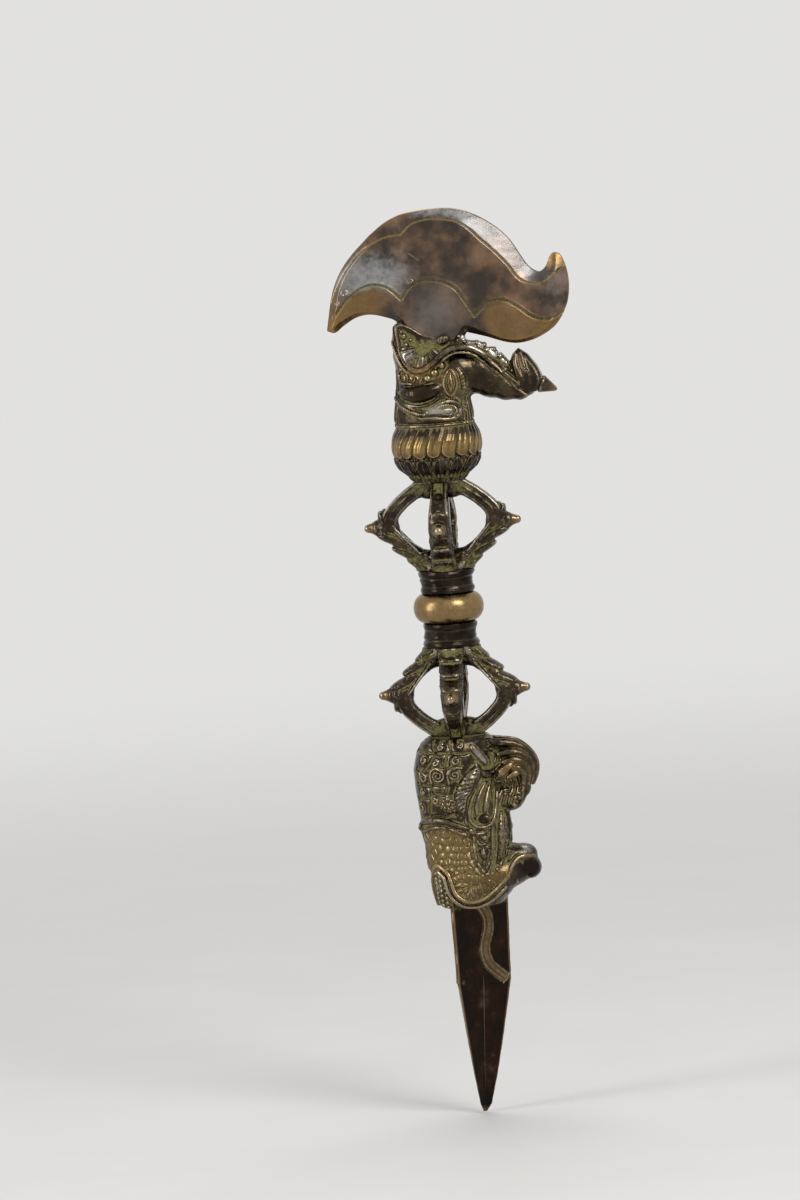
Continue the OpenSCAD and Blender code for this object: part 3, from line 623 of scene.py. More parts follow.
def patina(name, body, warm, worn=WORN_BRONZE_AND_HIGHLIGHT, pale=PALE_METAL, green=1.0, wear=0.5, gloss=0.3,
           gold_colour=WORN_BRASS, fleck_mix=0.16, cloud_size=7, dark=PURPLE_BROWN, dark_gloss=0.16):
    """Patinated bronze: dark forms, worn ridges with a painted highlight, verdigris in the hollows, painted
    shade in the crevices, and what the masks ask for.
    """
    n = Nodes(bpy.data.materials.new(name))
    plus, times, mix, ramp = n.plus, n.times, n.mix, n.ramp
    hollow, deep, gold, dark_share = (n.attribute(mask) for mask in ("hollow", "deep", "gold", "dark"))
    cloud, fleck, speck = n.noise(cloud_size, 4), n.noise(1.6, 6, 0.65), n.noise(0.5, 3, 0.6)
    base = mix(ramp(cloud, 0.38, 0.66), body, warm)
    # Where the pale mask asks: grey patina, and on the crescent's top bevel and the upper head's comma a
    # painted highlight
    patch = times(n.attribute("pale"), ramp(fleck, 0.2, 0.8, 0.65, 1.25))
    base = mix(ramp(plus(patch, times(cloud, 1.3)), 0.75, 1.65), base, pale)
    base = mix(times(ramp(fleck, 0.5, 0.75), fleck_mix), base, worn)
    goldish = times(gold, ramp(plus(times(hollow, 1.6), fleck), 0.8, 0.35))
    bright = tuple(1.5 * part for part in gold_colour)
    base = mix(goldish, base, mix(ramp(fleck, 0.35, 0.7), gold_colour, bright))
    # The worn colour on ridges and raised edges is real wear and also a painted highlight
    height = plus(times(hollow, -1), times(ramp(fleck, 0.2, 0.8), 0.12))
    base = mix(times(ramp(height, 0.2 - 0.12 * wear, 0.42 - 0.14 * wear), wear), base, worn)
    base = mix(dark_share, base, dark)
    sunk = plus(plus(times(hollow, 3.2), times(deep, 0.75)), times(n.attribute("grime"), 0.7))
    dirt = times(ramp(plus(sunk, times(fleck, 0.55)), 0.42, 0.78), green)
    colour = mix(dirt, base, mix(ramp(speck, 0.35, 0.65), VERDIGRIS, PALE_VERDIGRIS))
    # Painted shade: the narrowest crevices are darkened towards a near-black brown
    colour = mix(times(ramp(hollow, 0.16, 0.32), 0.8), colour, SHADE)
    rough = n.blend(ramp(fleck, 0.3, 0.75), gloss - 0.06, gloss + 0.16)
    rough = n.blend(dirt, n.blend(dark_share, rough, dark_gloss), 0.85)
    grain = plus(n.noise(0.9, 5, 0.7), times(speck, 0.5))
    bump = n.node("ShaderNodeBump", {"Strength": 0.6, "Distance": 0.06 * MM, "Height": grain})
    n.feed(n.tree.nodes["Principled BSDF"], {"Base Color": colour, "Metallic": n.blend(dirt, 1.0, 0.05),
                                             "Roughness": rough, "Normal": bump.outputs["Normal"]})
    return n.owner


head_metal = patina("head_metal", DARK_BRONZE, OLIVE_BRONZE, wear=0.68, gloss=0.22,
                    gold_colour=(0.22, 0.14, 0.056))
# The prongs' worn colour is a pale grey that paints highlights on their ridges as well as their wear
prong_metal = patina("prong_metal", DARK_BRONZE, OLIVE_BRONZE, worn=(0.42, 0.365, 0.28),
                     green=0.9, wear=0.9, gloss=0.2)
dark_metal = patina("dark_metal", DARK_BRONZE, WARM_BRONZE, green=0.8, wear=0.5, gloss=0.22)
neck_metal = patina("neck_metal", BLACK_METAL, DARK_BRONZE, green=0.1, wear=0.15, gloss=0.14, fleck_mix=0.02)
leaf_metal = patina("leaf_metal", BLACK_METAL, DARK_BRONZE, green=0.9, wear=0.3, gloss=0.2, fleck_mix=0.05)
petal_metal = patina("petal_metal", DARK_BRONZE, OLIVE_BRONZE, green=0.7, wear=0.6, gloss=0.22,
                     gold_colour=(0.26, 0.17, 0.066))
blade_metal = patina("blade_metal", BLACK_METAL, DEEP_RUSSET, worn=WORN_BRASS, green=0.9, wear=0.5,
                     gloss=0.28, fleck_mix=0.04)
crescent_metal = patina("crescent_metal", BROWN, RUSSET, worn=WORN_BRASS, pale=GREY_METAL, green=0.7,
                        wear=0.5, gloss=0.3, gold_colour=(0.23, 0.14, 0.052),
                        fleck_mix=0.05, cloud_size=11, dark=STEEL_GREY, dark_gloss=0.3)
knob_metal = patina("knob_metal", (0.11, 0.067, 0.021), (0.17, 0.104, 0.035),
                    worn=BRIGHT_BRASS, green=0.4, wear=0.3, gloss=0.26, gold_colour=WORN_BRASS)

# Upper head
UPPER_NECK = Column([
    [0, -12.7, 12.1, 10.8], [3.5, -12.7, 12, 10.8], [8, -12, 11.3, 10.3], [12.7, -11.4, 11.6, 9.6],
    [16.6, -10.9, 11.3, 8.9], [19.6, -10.9, 8.6, 7.8], [22, -10.9, 5, 6.6]])
# The lip's wave: x, height and half depth
UPPER_LIP = [[-10.3, 31.4, 2.2], [-10, 27.6, 4.4], [-9, 23.8, 6.6], [-7.7, 20.6, 7.7], [-5.2, 18.2, 8.6],
             [-2.3, 18, 8.9], [1, 20, 8.9], [4.6, 23, 8.6], [8, 24.4, 8.2], [11.9, 24.3, 7.7], [15.1, 23, 7],
             [18.2, 20.3, 6.3], [21.2, 17.1, 5.6], [24.3, 13.9, 5], [27.2, 11.2, 4.4]]
CREST = [
    [6.2, 24], [6.4, 27.5], [8.9, 28.1], [11.1, 28], [11.6, 26.2], [14.2, 25.8], [16.8, 25.1], [17.4, 23.5],
    [19.9, 23.4], [20.6, 21.8], [22.4, 20.9], [24.6, 18.6], [25.2, 15.4], [20, 17.4], [13, 22.6]]
SNOUT_END = [
    [27.9, 22.6], [26, 20.8], [24.9, 18.2], [26, 14], [27.6, 10.2], [30.8, 8.2], [33.6, 8.8], [35.1, 12.6],
    [33.5, 16.6], [30.8, 20.4]]


def neck_relief():
    """The line at the nape and the flaring lines under the snout, round the upper neck."""
    r = Relief((-20, -1), (20, 22))
    for u, lean in ((11.4, 0.6), (13, 0.9), (14.6, 1), (16.4, 0.8), (18.2, 0.4)):
        r.stroke(curve([(u, -0.6), (u - 0.5, 5), (u + lean, 11), (u + 2 * lean, 16)], 3), 0.75, 0.42)
    for k in range(9):
        r.dome((12.2 + 0.1 * k, 4.4 + 1.2 * k), (0.7, 0.42), 0.5, 25)
    for u in (-18.4, -16.6, -14.9):
        r.stroke(curve([(u, 0), (u + 0.9, 6), (u + 0.2, 12), (u - 0.3, 18)], 3), 0.6, 0.3)
    r.groove([(-20, 1.2), (-12, 1.1), (12, 0.9), (20, 1.2)], 0.6, 0.35)
    return r


# Where the jewel stands on the snout's end
SNOUT_FOOT_X, SNOUT_FOOT_Z = 34, 10.8


def upper_head():
    clay = Clay((-14, -12.8, -0.6), (36.6, 12.8, 33), 0.24)
    clay.put(UPPER_NECK.distance, (-14, -12, -1), (14, 12, 22), 0)
    clay.press(neck_relief(), UPPER_NECK)
    clay.limb([[-3, 9.6, 7, 9.4], [-6.4, 16.4, 4.2, 8], [-9, 22.6, 2.6, 6.8], [-9.9, 27, 2, 5.4],
               [-10.3, 30.4, 1.2, 3]], 1.6)
    clay.limb([[3, 13, 8.2, 9.4], [8.6, 16.5, 7, 8.4], [14, 15.9, 6.6, 7.1], [19, 13.2, 5.8, 6.1],
               [23.4, 10.8, 4.5, 5.3], [27.5, 9.4, 3.2, 4.6], [30, 9.8, 2.6, 4.2]], 2.2, 2.4)
    upper_mouth(clay)
    clay.measure()
    lip = curve(UPPER_LIP, 4)
    clay.tube(edge_path(lip, 0.1, 1.05), 0.3)
    clay.tube(edge_path(beside(lip, 1.05)[4:], -0.55, 0.3), 0.05, carve=True)
    clay.tube(edge_path(beside(lip, 1.6)[4:], -0.1, 0.42), 0.1)
    upper_face(clay)
    snout_end(clay)
    clay.cut(lambda x, y, z: np.maximum(-z, (x - SNOUT_FOOT_X) * 0.917 - (z - SNOUT_FOOT_Z) * 0.399))
    clay.roughen(0.035, 3.1)
    return clay.surface()


def upper_mouth(clay):
    """Gums that fall away from the lip, teeth along them, and the ragged crest on the snout."""
    lip = curve(UPPER_LIP, 4)[:, :2]
    gum = np.vstack([lip[:-6], [[24.6, 16.6], [20.6, 19.6], [15.4, 23], [9.8, 25.6], [4.6, 27.2], [-2, 29],
                                [-6, 31.8], [-8.8, 33.2], [-10.6, 32.6]]])

    def gums(x, y, z):
        rise = line_distance(x, z, lip)
        side = polygon_distance(x, z, gum)
        return np.maximum(side, np.abs(y) - 3.5 - 3.6 * np.exp(-rise / 3.2))
    clay.put(gums, (-12, -8, 8), (28, 8, 32), 0.4)
    clay.slab(CREST, lambda x, z: 2.2 + 1.6 * unit((26 - z - 0.3 * (x - 8)) / 5), 0.2, 0.9)
    clay.measure()
    middle = np.array([-1.2, 25.6])
    for k in range(7, 28, 2):
        foot = lip[k] + (middle - lip[k]) * 0.1
        tip = lip[k] + (middle - lip[k]) * 0.52
        clay.draw([[*foot, 0.9], [*tip, 0.55]], -0.15, 0.05, steps=1)
    for x, z, r in ((-7.9, 28.9, 1.15), (-7.4, 26, 1.2), (-8.6, 30.4, 0.7), (-5.8, 27.6, 0.7)):
        clay.bead(x, z, r, 0.1, 0.15)
    clay.ball([4.6, -5.6, 27], (2.2, 1.6, 1.6), 0.2, -20)
    for k in range(3):
        clay.tube([[3.4 + 0.95 * k, -7.2, 25.6, 0.24], [3.9 + 0.95 * k, -6.9, 28.2, 0.24]], 0.05, carve=True)
    rng = np.random.default_rng(5)
    for k in range(30):
        x = 7 + 0.6 * k
        top = np.interp(x, [7, 11, 12, 16.8, 17.6, 20, 21, 24.4],
                        [27.2, 27.6, 25.6, 24.8, 23.2, 23, 21.4, 18.8])
        r = rng.uniform(0.5, 0.9)
        y = -rng.uniform(1.2, 2.6)
        clay.ball([x, y, top + rng.uniform(-1.6, 0.3)], r, 0.1)


def upper_face(clay):
    """Eye, beads and curled lumps under the lip, leaves, the rope at the nape and the comma curl."""
    eye = [[-10.4, 11.2, 0.7], [-8, 10.9, 2], [-4.6, 10.5, 2.8], [-1, 11, 2.7], [2, 12.2, 1.6],
           [3.7, 13, 0.6]]
    clay.draw(eye, 0.95, 0.05)
    rim = beside(curve([s[:2] for s in eye], 4), -3.2)
    clay.draw([[*p, 0.6] for p in rim[1:-2]], 0, 0.05, steps=1)
    clay.draw([[-11, 8.6, 0.4], [-7.4, 7.2, 0.5], [-3.4, 6.8, 0.55], [0.6, 8, 0.5], [3, 10, 0.4]], 0.1, 0.1)
    for x, z, r in ((3.7, 19.1, 1.45), (1.5, 17, 1.4), (-0.8, 15.4, 1.3)):
        clay.bead(x, z, r, -0.1, 0)
    for x, z, lean in ((-3.4, 15.5, 35), (-5.6, 15.6, 25), (-7.7, 15.9, 15), (-9.5, 16.6, 5)):
        clay.bead(x, z, (0.95, 1.1, 1.55), 0, 0.05, -lean)
        clay.draw([[x - 0.6, z + 1.5, 0.25], [x + 0.2, z + 0.2, 0.3], [x - 0.2, z - 1.2, 0.2]],
                  -0.7, carve=True, steps=2)
    for x, z in ((-8.9, 18.5), (-6.6, 17.7), (-4.4, 17)):
        clay.bead(x, z, (1, 0.9, 0.6), 0.1, 0.05, 20)
    almond = [[6.1, 8.9, 0.45], [4.4, 11.6, 0.5], [4.4, 14.8, 0.5], [6.3, 17.9, 0.4], [8.1, 15, 0.5],
              [7.8, 11.6, 0.5], [6.1, 8.9, 0.45]]
    clay.draw(almond, 0, 0.05)
    clay.draw([[6.1, 10.6, 0.4], [6.1, 13.4, 1.15], [6.3, 16.4, 0.4]], 0.1, 0.05)
    clay.draw([[6.1, 10.4, 0.2], [6.2, 13.4, 0.24], [6.3, 16.6, 0.2]], -1, carve=True)
    clay.draw([[9.4, 9.4, 0.45], [10.2, 12.6, 1], [9.9, 15.6, 0.9], [8.8, 18, 0.4]], 0.1, 0.1)
    for k in range(6):
        clay.draw([[9, 10.6 + 1.15 * k, 0.2], [11, 11.2 + 1.15 * k, 0.2]], -0.8, carve=True, steps=1)
    for x, z, r in ((6.1, 7.9, 0.95), (4.6, 8.2, 0.65), (7.7, 8.3, 0.65)):
        clay.bead(x, z, r, 0.1, 0)
    band = curve([[-11.9, 9.2], [-10.2, 7], [-7.8, 5.5], [-5, 4.5], [-2.6, 4]], 4)
    for x, z in band:
        clay.bead(x, z, (0.55, 0.9, 0.8), -0.35, 0)
    clay.draw([[*p, 0.4] for p in beside(band, -1.1)], -0.1, 0.05, steps=1)
    clay.draw([[-4.6, 3.4, 0.35], [-2.6, 4, 0.9], [0.4, 5, 1.6], [3.6, 5.2, 2.2], [6.2, 4.7, 2.2]], 0.5, 0.05)
    clay.draw([[-4.2, 3, 0.35], [0.4, 2.9, 0.55], [4, 2.3, 0.6], [7.4, 2.7, 0.6], [8.7, 4.8, 0.6],
               [7.7, 7.1, 0.6], [5, 7.8, 0.6], [1.4, 6.8, 0.5], [-1.2, 5.4, 0.3]], -0.9, 0.05)
    clay.draw([[0.6, 4.9, 0.4], [3, 5.9, 0.5], [5.6, 6.1, 0.55], [6.9, 4.9, 0.55], [5.4, 3.7, 0.5],
               [3.4, 4.1, 0.4]], -1.5, 0.05, carve=True)


def snout_end(clay):
    """The wedge at the snout's end, with its ridges, a small ring and the fold where it meets the snout."""
    clay.slab(SNOUT_END, lambda x, z: 1.5 + 3 * unit((22.6 - z) / 9) ** 0.8, 0.5, 1.6)
    for path in ([[27, -2.2, 20.6, 0.5], [26.8, -3.2, 17.4, 0.9], [28.4, -4, 12.2, 0.8]],
                 [[28.6, -2, 20.8, 0.5], [29.4, -3.2, 16.8, 0.9], [31, -4, 11.4, 0.8]]):
        clay.tube(curve(path, 4), 0.6)
    clay.tube([[x, -4.4, z, 0.26] for x, z in small_ring(30.2, 15.6, 0.8)], 0.1)
    clay.tube(curve([[25.2, -5.4, 12.4, 0.4], [27, -5, 9.8, 0.5], [29.8, -4.4, 7.8, 0.5]], 3), 0.2)
    clay.tube(curve([[33.6, -3, 15.6, 0.3], [34.3, -4.2, 12, 0.35], [32.6, -4.4, 8.6, 0.3]], 3),
              0.1, carve=True)


def upper_grime(x, y, z):
    lip = line_distance(x, z, curve(UPPER_LIP, 3))
    mouth = within(x, z, [*[p[:2] for p in UPPER_LIP[:9]], (4, 27), (-4, 29), (-9, 32)], 1.5)
    behind = unit((x - 23) / 2) * unit((27.4 - x) / 1.5) * (z > 13.4)
    low_end = unit((1.4 - z) / 1.4)
    wedge = within(x, z, SNOUT_END, 1)
    eye = spot(x, z, 1.8, -3.4, 11, 6.4, 2.6)
    bare = 0.6 * wedge + 0.8 * eye
    return np.clip(0.4 * mouth * unit(lip - 0.9) + 0.5 * behind + 0.7 * low_end - bare, -1, 1)


def upper_gold(x, y, z):
    lumps = spot(x, z, 1.5, -2.8, 17, 6.6, 3) * (z > 13.6)
    return np.clip(0.75 * lumps + 0.5 * spot(x, z, 1.4, 7, 13, 3.6, 5), 0, 0.8)


def upper_dark(x, y, z):
    return unit(2.8 - 2.2 * np.hypot((x + 4.2) / 7.4, (z - 10.9) / 3.1)) * 0.6


def upper_pale_and_painted_glint(x, y, z):
    crest = within(x, z, CREST, 1) * (z > 20.4 - 0.6 * (x - 20))
    # The comma curl is pale silvery metal, made paler still as a painted glint on it
    comma = spot(x, z, 1.5, 2.8, 5, 5, 2.2)
    teeth = within(x, z, [(-9, 24), (-7, 20), (-4, 18.6), (0, 20.4), (4, 24), (1, 25), (-6, 25)], 1)
    return unit(crest + 0.8 * comma + 0.45 * teeth)


clay_piece("upper_head", upper_head(), "head_bronze", head_metal, moved(upper_z),
           gold=upper_gold, grime=upper_grime, pale=upper_pale_and_painted_glint, dark=upper_dark)

# Lower head
LOWER_BODY = Column([
    [-54, -9.5, 11.1, 12], [-51, -10.8, 13.5, 12.8], [-45.6, -11.6, 14.3, 12.5], [-39, -12.2, 14, 12.3],
    [-33.5, -12.4, 14.3, 12], [-29.6, -13.5, 14.3, 12.5], [-24, -13.8, 13, 12.8], [-17, -14.6, 11.6, 12.8],
    [-10, -14.9, 11.1, 12.7], [-4.3, -13.5, 11.3, 11.5], [-1.6, -11.9, 11.1, 10.2], [0, -9.7, 9.7, 8.7]])
# The lip's wave: x, height and half depth
LOWER_LIP = [[-9.8, -53.2, 3], [-10.7, -49, 3.4], [-10.9, -45.6, 4.4], [-10.3, -42.6, 6.4], [-9, -40.4, 8.6],
             [-7.6, -40.8, 10], [-5.6, -42.8, 11.2], [-4.8, -45.2, 11.7], [-4, -48.2, 12.1],
             [-2.8, -50.2, 12.4], [-0.5, -51.7, 12.6], [2.4, -52.1, 12.7], [5.4, -51.3, 12.3],
             [8, -49.7, 11.4], [10.5, -47.6, 10.2], [12.7, -45.4, 9.2], [14.2, -43.3, 8.4],
             [15.2, -41.3, 7.6], [16.8, -39.7, 6.6], [19.1, -39.3, 5.4], [21.6, -39.9, 3.6]]


def lower_relief():
    """The mane's cells and curls, the scales and the wrinkled lip band, on the body's unrolled side."""
    r = Relief((-20, -55), (20, 1))
    on = LOWER_BODY.unrolled_points
    scales(r, on)
    lines = [[(-9, -10.3), (-9.2, -16.3), (-10.1, -24.2)],
             [(-3.4, -5), (-4, -8), (-3.6, -11), (-4, -14.4), (-4.5, -17)],
             [(-12.8, -3.6), (-7.3, -4.4), (-2, -4.3), (2, -4.7), (4, -4.2)],
             [(-9.3, -16.7), (-6.5, -17.2), (-3.4, -17.8), (-2, -20), (-1.2, -23.4)],
             [(-9, -14), (-4.2, -14.4)], [(-12.2, -11), (-9.4, -7.9), (-7.3, -4.3)],
             [(-13.4, -18.6), (-10.2, -18.4)], [(-13.2, -14.1), (-9.3, -14.7)], [(-2.2, -0.4), (-1.9, -4.3)],
             [(-7.6, -0.8), (-7.6, -4.4)], [(-13.2, -9.2), (-12.2, -11), (-12.8, -14.2)],
             [(-10.1, -24.2), (-5.2, -24.6), (-1.2, -23.4)]]
    for points in lines:
        r.groove(curve(on(points), 4), 1.0, 0.7)
    curls = [(-6.5, -11.4, 2.1, 2, -1), (-1.1, -11.2, 1.8, 1.6, 1), (-6.9, -7.2, 1.1, 1.2, -1),
             (-0.4, -6.8, 1.3, 1.4, 1), (-11.2, -12, 1.4, 1.5, -1), (-10.6, -6.4, 1.3, 1.4, 1),
             (-4.8, -2.4, 1.1, 1.3, 1), (1, -2.2, 1, 1.2, -1), (-12.2, -21.6, 1.2, 1.4, 1),
             (-7.9, -19.4, 1, 1.2, -1), (-11.6, -16.6, 1, 1.1, 1)]
    for x, z, size, turns, hand in curls:
        r.spiral(on([(x, z)])[0], size, turns, 0.78, 0.8, hand)
    r.stroke(curve(on([(-3, -14), (-3.4, -10.8), (-1.6, -8.9), (1.2, -9.2)]), 4), 0.8, 0.7)
    r.stroke(curve(on([(-8.6, -13.6), (-8.8, -10.4), (-7, -8.9), (-4.6, -9.3)]), 4), 0.8, 0.7)
    rose = on([(-3.7, -20.4)])[0]
    for k in range(8):
        a = math.radians(45 * k)
        r.dome(rose + 1.5 * np.array([math.cos(a), math.sin(a)]), 0.7, 0.7)
    r.dome(rose, 0.85, 1)
    for k in range(12):
        a = math.radians(30 * k)
        r.dome(rose + 2.7 * np.array([math.cos(a), 0.9 * math.sin(a)]), 0.4, 0.4)
    return r


def scales(r, on):
    """Uneven flat scales on the cheek, and the cells of the band that follows the lip."""
    rng = np.random.default_rng(11)
    centres = []
    for row in range(8):
        for column in range(8):
            x = -12.8 + 2.6 * column + (1.25 if row % 2 else 0) + rng.uniform(-0.5, 0.5)
            z = -30.2 - 2.2 * row + rng.uniform(-0.5, 0.5) - 0.12 * (x + 5)
            if x < 5.6 and z > np.interp(x, [-9, -5, -3, 6], [-41, -42.6, -44.6, -45]):
                centres.append((x, z))
    band = curve(np.array([p[:2] for p in LOWER_LIP[5:17]], float), 5)
    inner = beside(band, -2.6)
    for k in range(2, len(band), 4):
        centres.append(tuple(inner[k] + rng.uniform(-0.3, 0.3, 2)))
    centres = on(centres)
    area, u, v = r.patch(centres, 2)
    first = np.full(np.broadcast(u, v).shape, 99.0)
    second = first.copy()
    for c in centres:
        d = np.hypot(u - c[0], v - c[1])
        second = np.minimum(second, np.maximum(first, d))
        first = np.minimum(first, d)
    rim = (second - first) / 2
    height = 0.55 * unit(rim / 0.36) ** 0.6 + 0.2 * unit(1 - first / 1.5)
    keep = unit((2.6 - first) / 0.4)
    r.raise_to(area, height * keep)


def lower_head():
    clay = Clay((-16.4, -15.6, -55.2), (25.6, 15.6, 0.6), 0.25)
    clay.put(LOWER_BODY.distance, (-16, -14, -55), (16, 14, 1), 0)
    clay.press(lower_relief(), LOWER_BODY)
    clay.limb([[6, -45.4, 6.4, 11.6], [11, -44.6, 6.2, 9.8], [14.4, -43.6, 5.6, 8.3],
               [18, -42.6, 5, 5.8]], 1.6)
    clay.limb([[14, -38, 2.6, 6], [18.6, -40, 3.4, 5]], 1.2)
    clay.limb([[8, -10, 6, 6.8], [14, -11, 6.4, 5.6], [19.4, -12.2, 4.4, 3.2]], 1.5)
    clay.limb([[10, -21, 5, 6.6], [15.4, -20.4, 4.6, 5], [18.6, -17.8, 3.6, 3.4]], 1.2)
    clay.limb([[-6.6, -45, 3.6, 8.4], [-6.2, -49, 3.8, 8.6], [-5.2, -52.4, 3.6, 8.8]], 0.8, 3)
    clay.measure()
    lower_crest(clay)
    lower_face(clay)
    lower_mouth(clay)
    clay.cut(lambda x, y, z: np.maximum(z, -54.3 - z))
    clay.roughen(0.035, 3.3)
    return clay.surface()


def lower_crest(clay):
    """The curling flutes, two beans at their root, and the rough beard below them."""
    flutes = [
        [[8.6, -4.4, -1.8, 0.9], [13.4, -3.8, -2.9, 1.4], [18, -2.8, -3.9, 1.6], [21.4, -2, -6.4, 1.6],
         [23.5, -1.6, -9.7, 1.5], [23.9, -1.4, -13, 1.2], [22.9, -1, -16.4, 0.9]],
        [[13, -6, -6.2, 0.9], [16.8, -5.4, -5.9, 1.4], [20.2, -4.5, -7.2, 1.5], [22.4, -3.5, -10.2, 1.4],
         [22.7, -2.8, -13.6, 1.1], [21.8, -2.4, -16.6, 0.8]],
        [[14.4, -7.2, -8.8, 0.8], [17.6, -6.6, -8.3, 1.3], [20.4, -5.6, -9.8, 1.4], [21.6, -4.7, -12.8, 1.2],
         [21.2, -4, -16, 0.9]],
        [[16.2, -7.6, -11, 0.7], [18.6, -7, -10.9, 1.2], [20.2, -6.2, -12.8, 1.2], [20, -5.4, -15.8, 0.9]]]
    for path in flutes:
        clay.tube(curve(path, 4), 0.1)
    clay.tube(curve([[11.8, -7.6, -13.6, 0.6], [13.6, -8.1, -11.8, 1.4], [16, -7.8, -10, 1.3],
                     [17.4, -7.4, -9.2, 0.6]], 3), 0.05)
    clay.tube(curve([[15.4, -7.4, -13.6, 0.6], [17.4, -7.4, -12.6, 1.2], [19.2, -6.8, -12.4, 0.8]], 3), 0.05)
    rng = np.random.default_rng(3)
    for k in range(34):
        x, z = rng.uniform(12, 21), rng.uniform(-24.4, -14.6)
        if abs((z + 19) + 0.7 * (x - 16)) < 4 and x < 19.4 and z > -23.4:
            clay.bead(x, z, (rng.uniform(0.6, 1.2), 0.9, rng.uniform(0.6, 1.1)), 0.1, 0.2)
    for k in range(5):
        x = 12.6 + 1.7 * k
        clay.draw([[x, -14.8, 0.45], [x + 0.4, -17.4, 0.6], [x - 0.6, -20.2, 0.5], [x - 1.4, -22.4, 0.3]],
                  0, 0.1)


# One stripe round the horn: places across and along it, depth and radius
HORN_STRIPE = [(-0.98, -1, 0.3, 0.26), (-0.3, -0.3, 0.98, 0.32), (0.4, 0.4, 0.93, 0.32), (0.98, 1, 0.3, 0.26)]


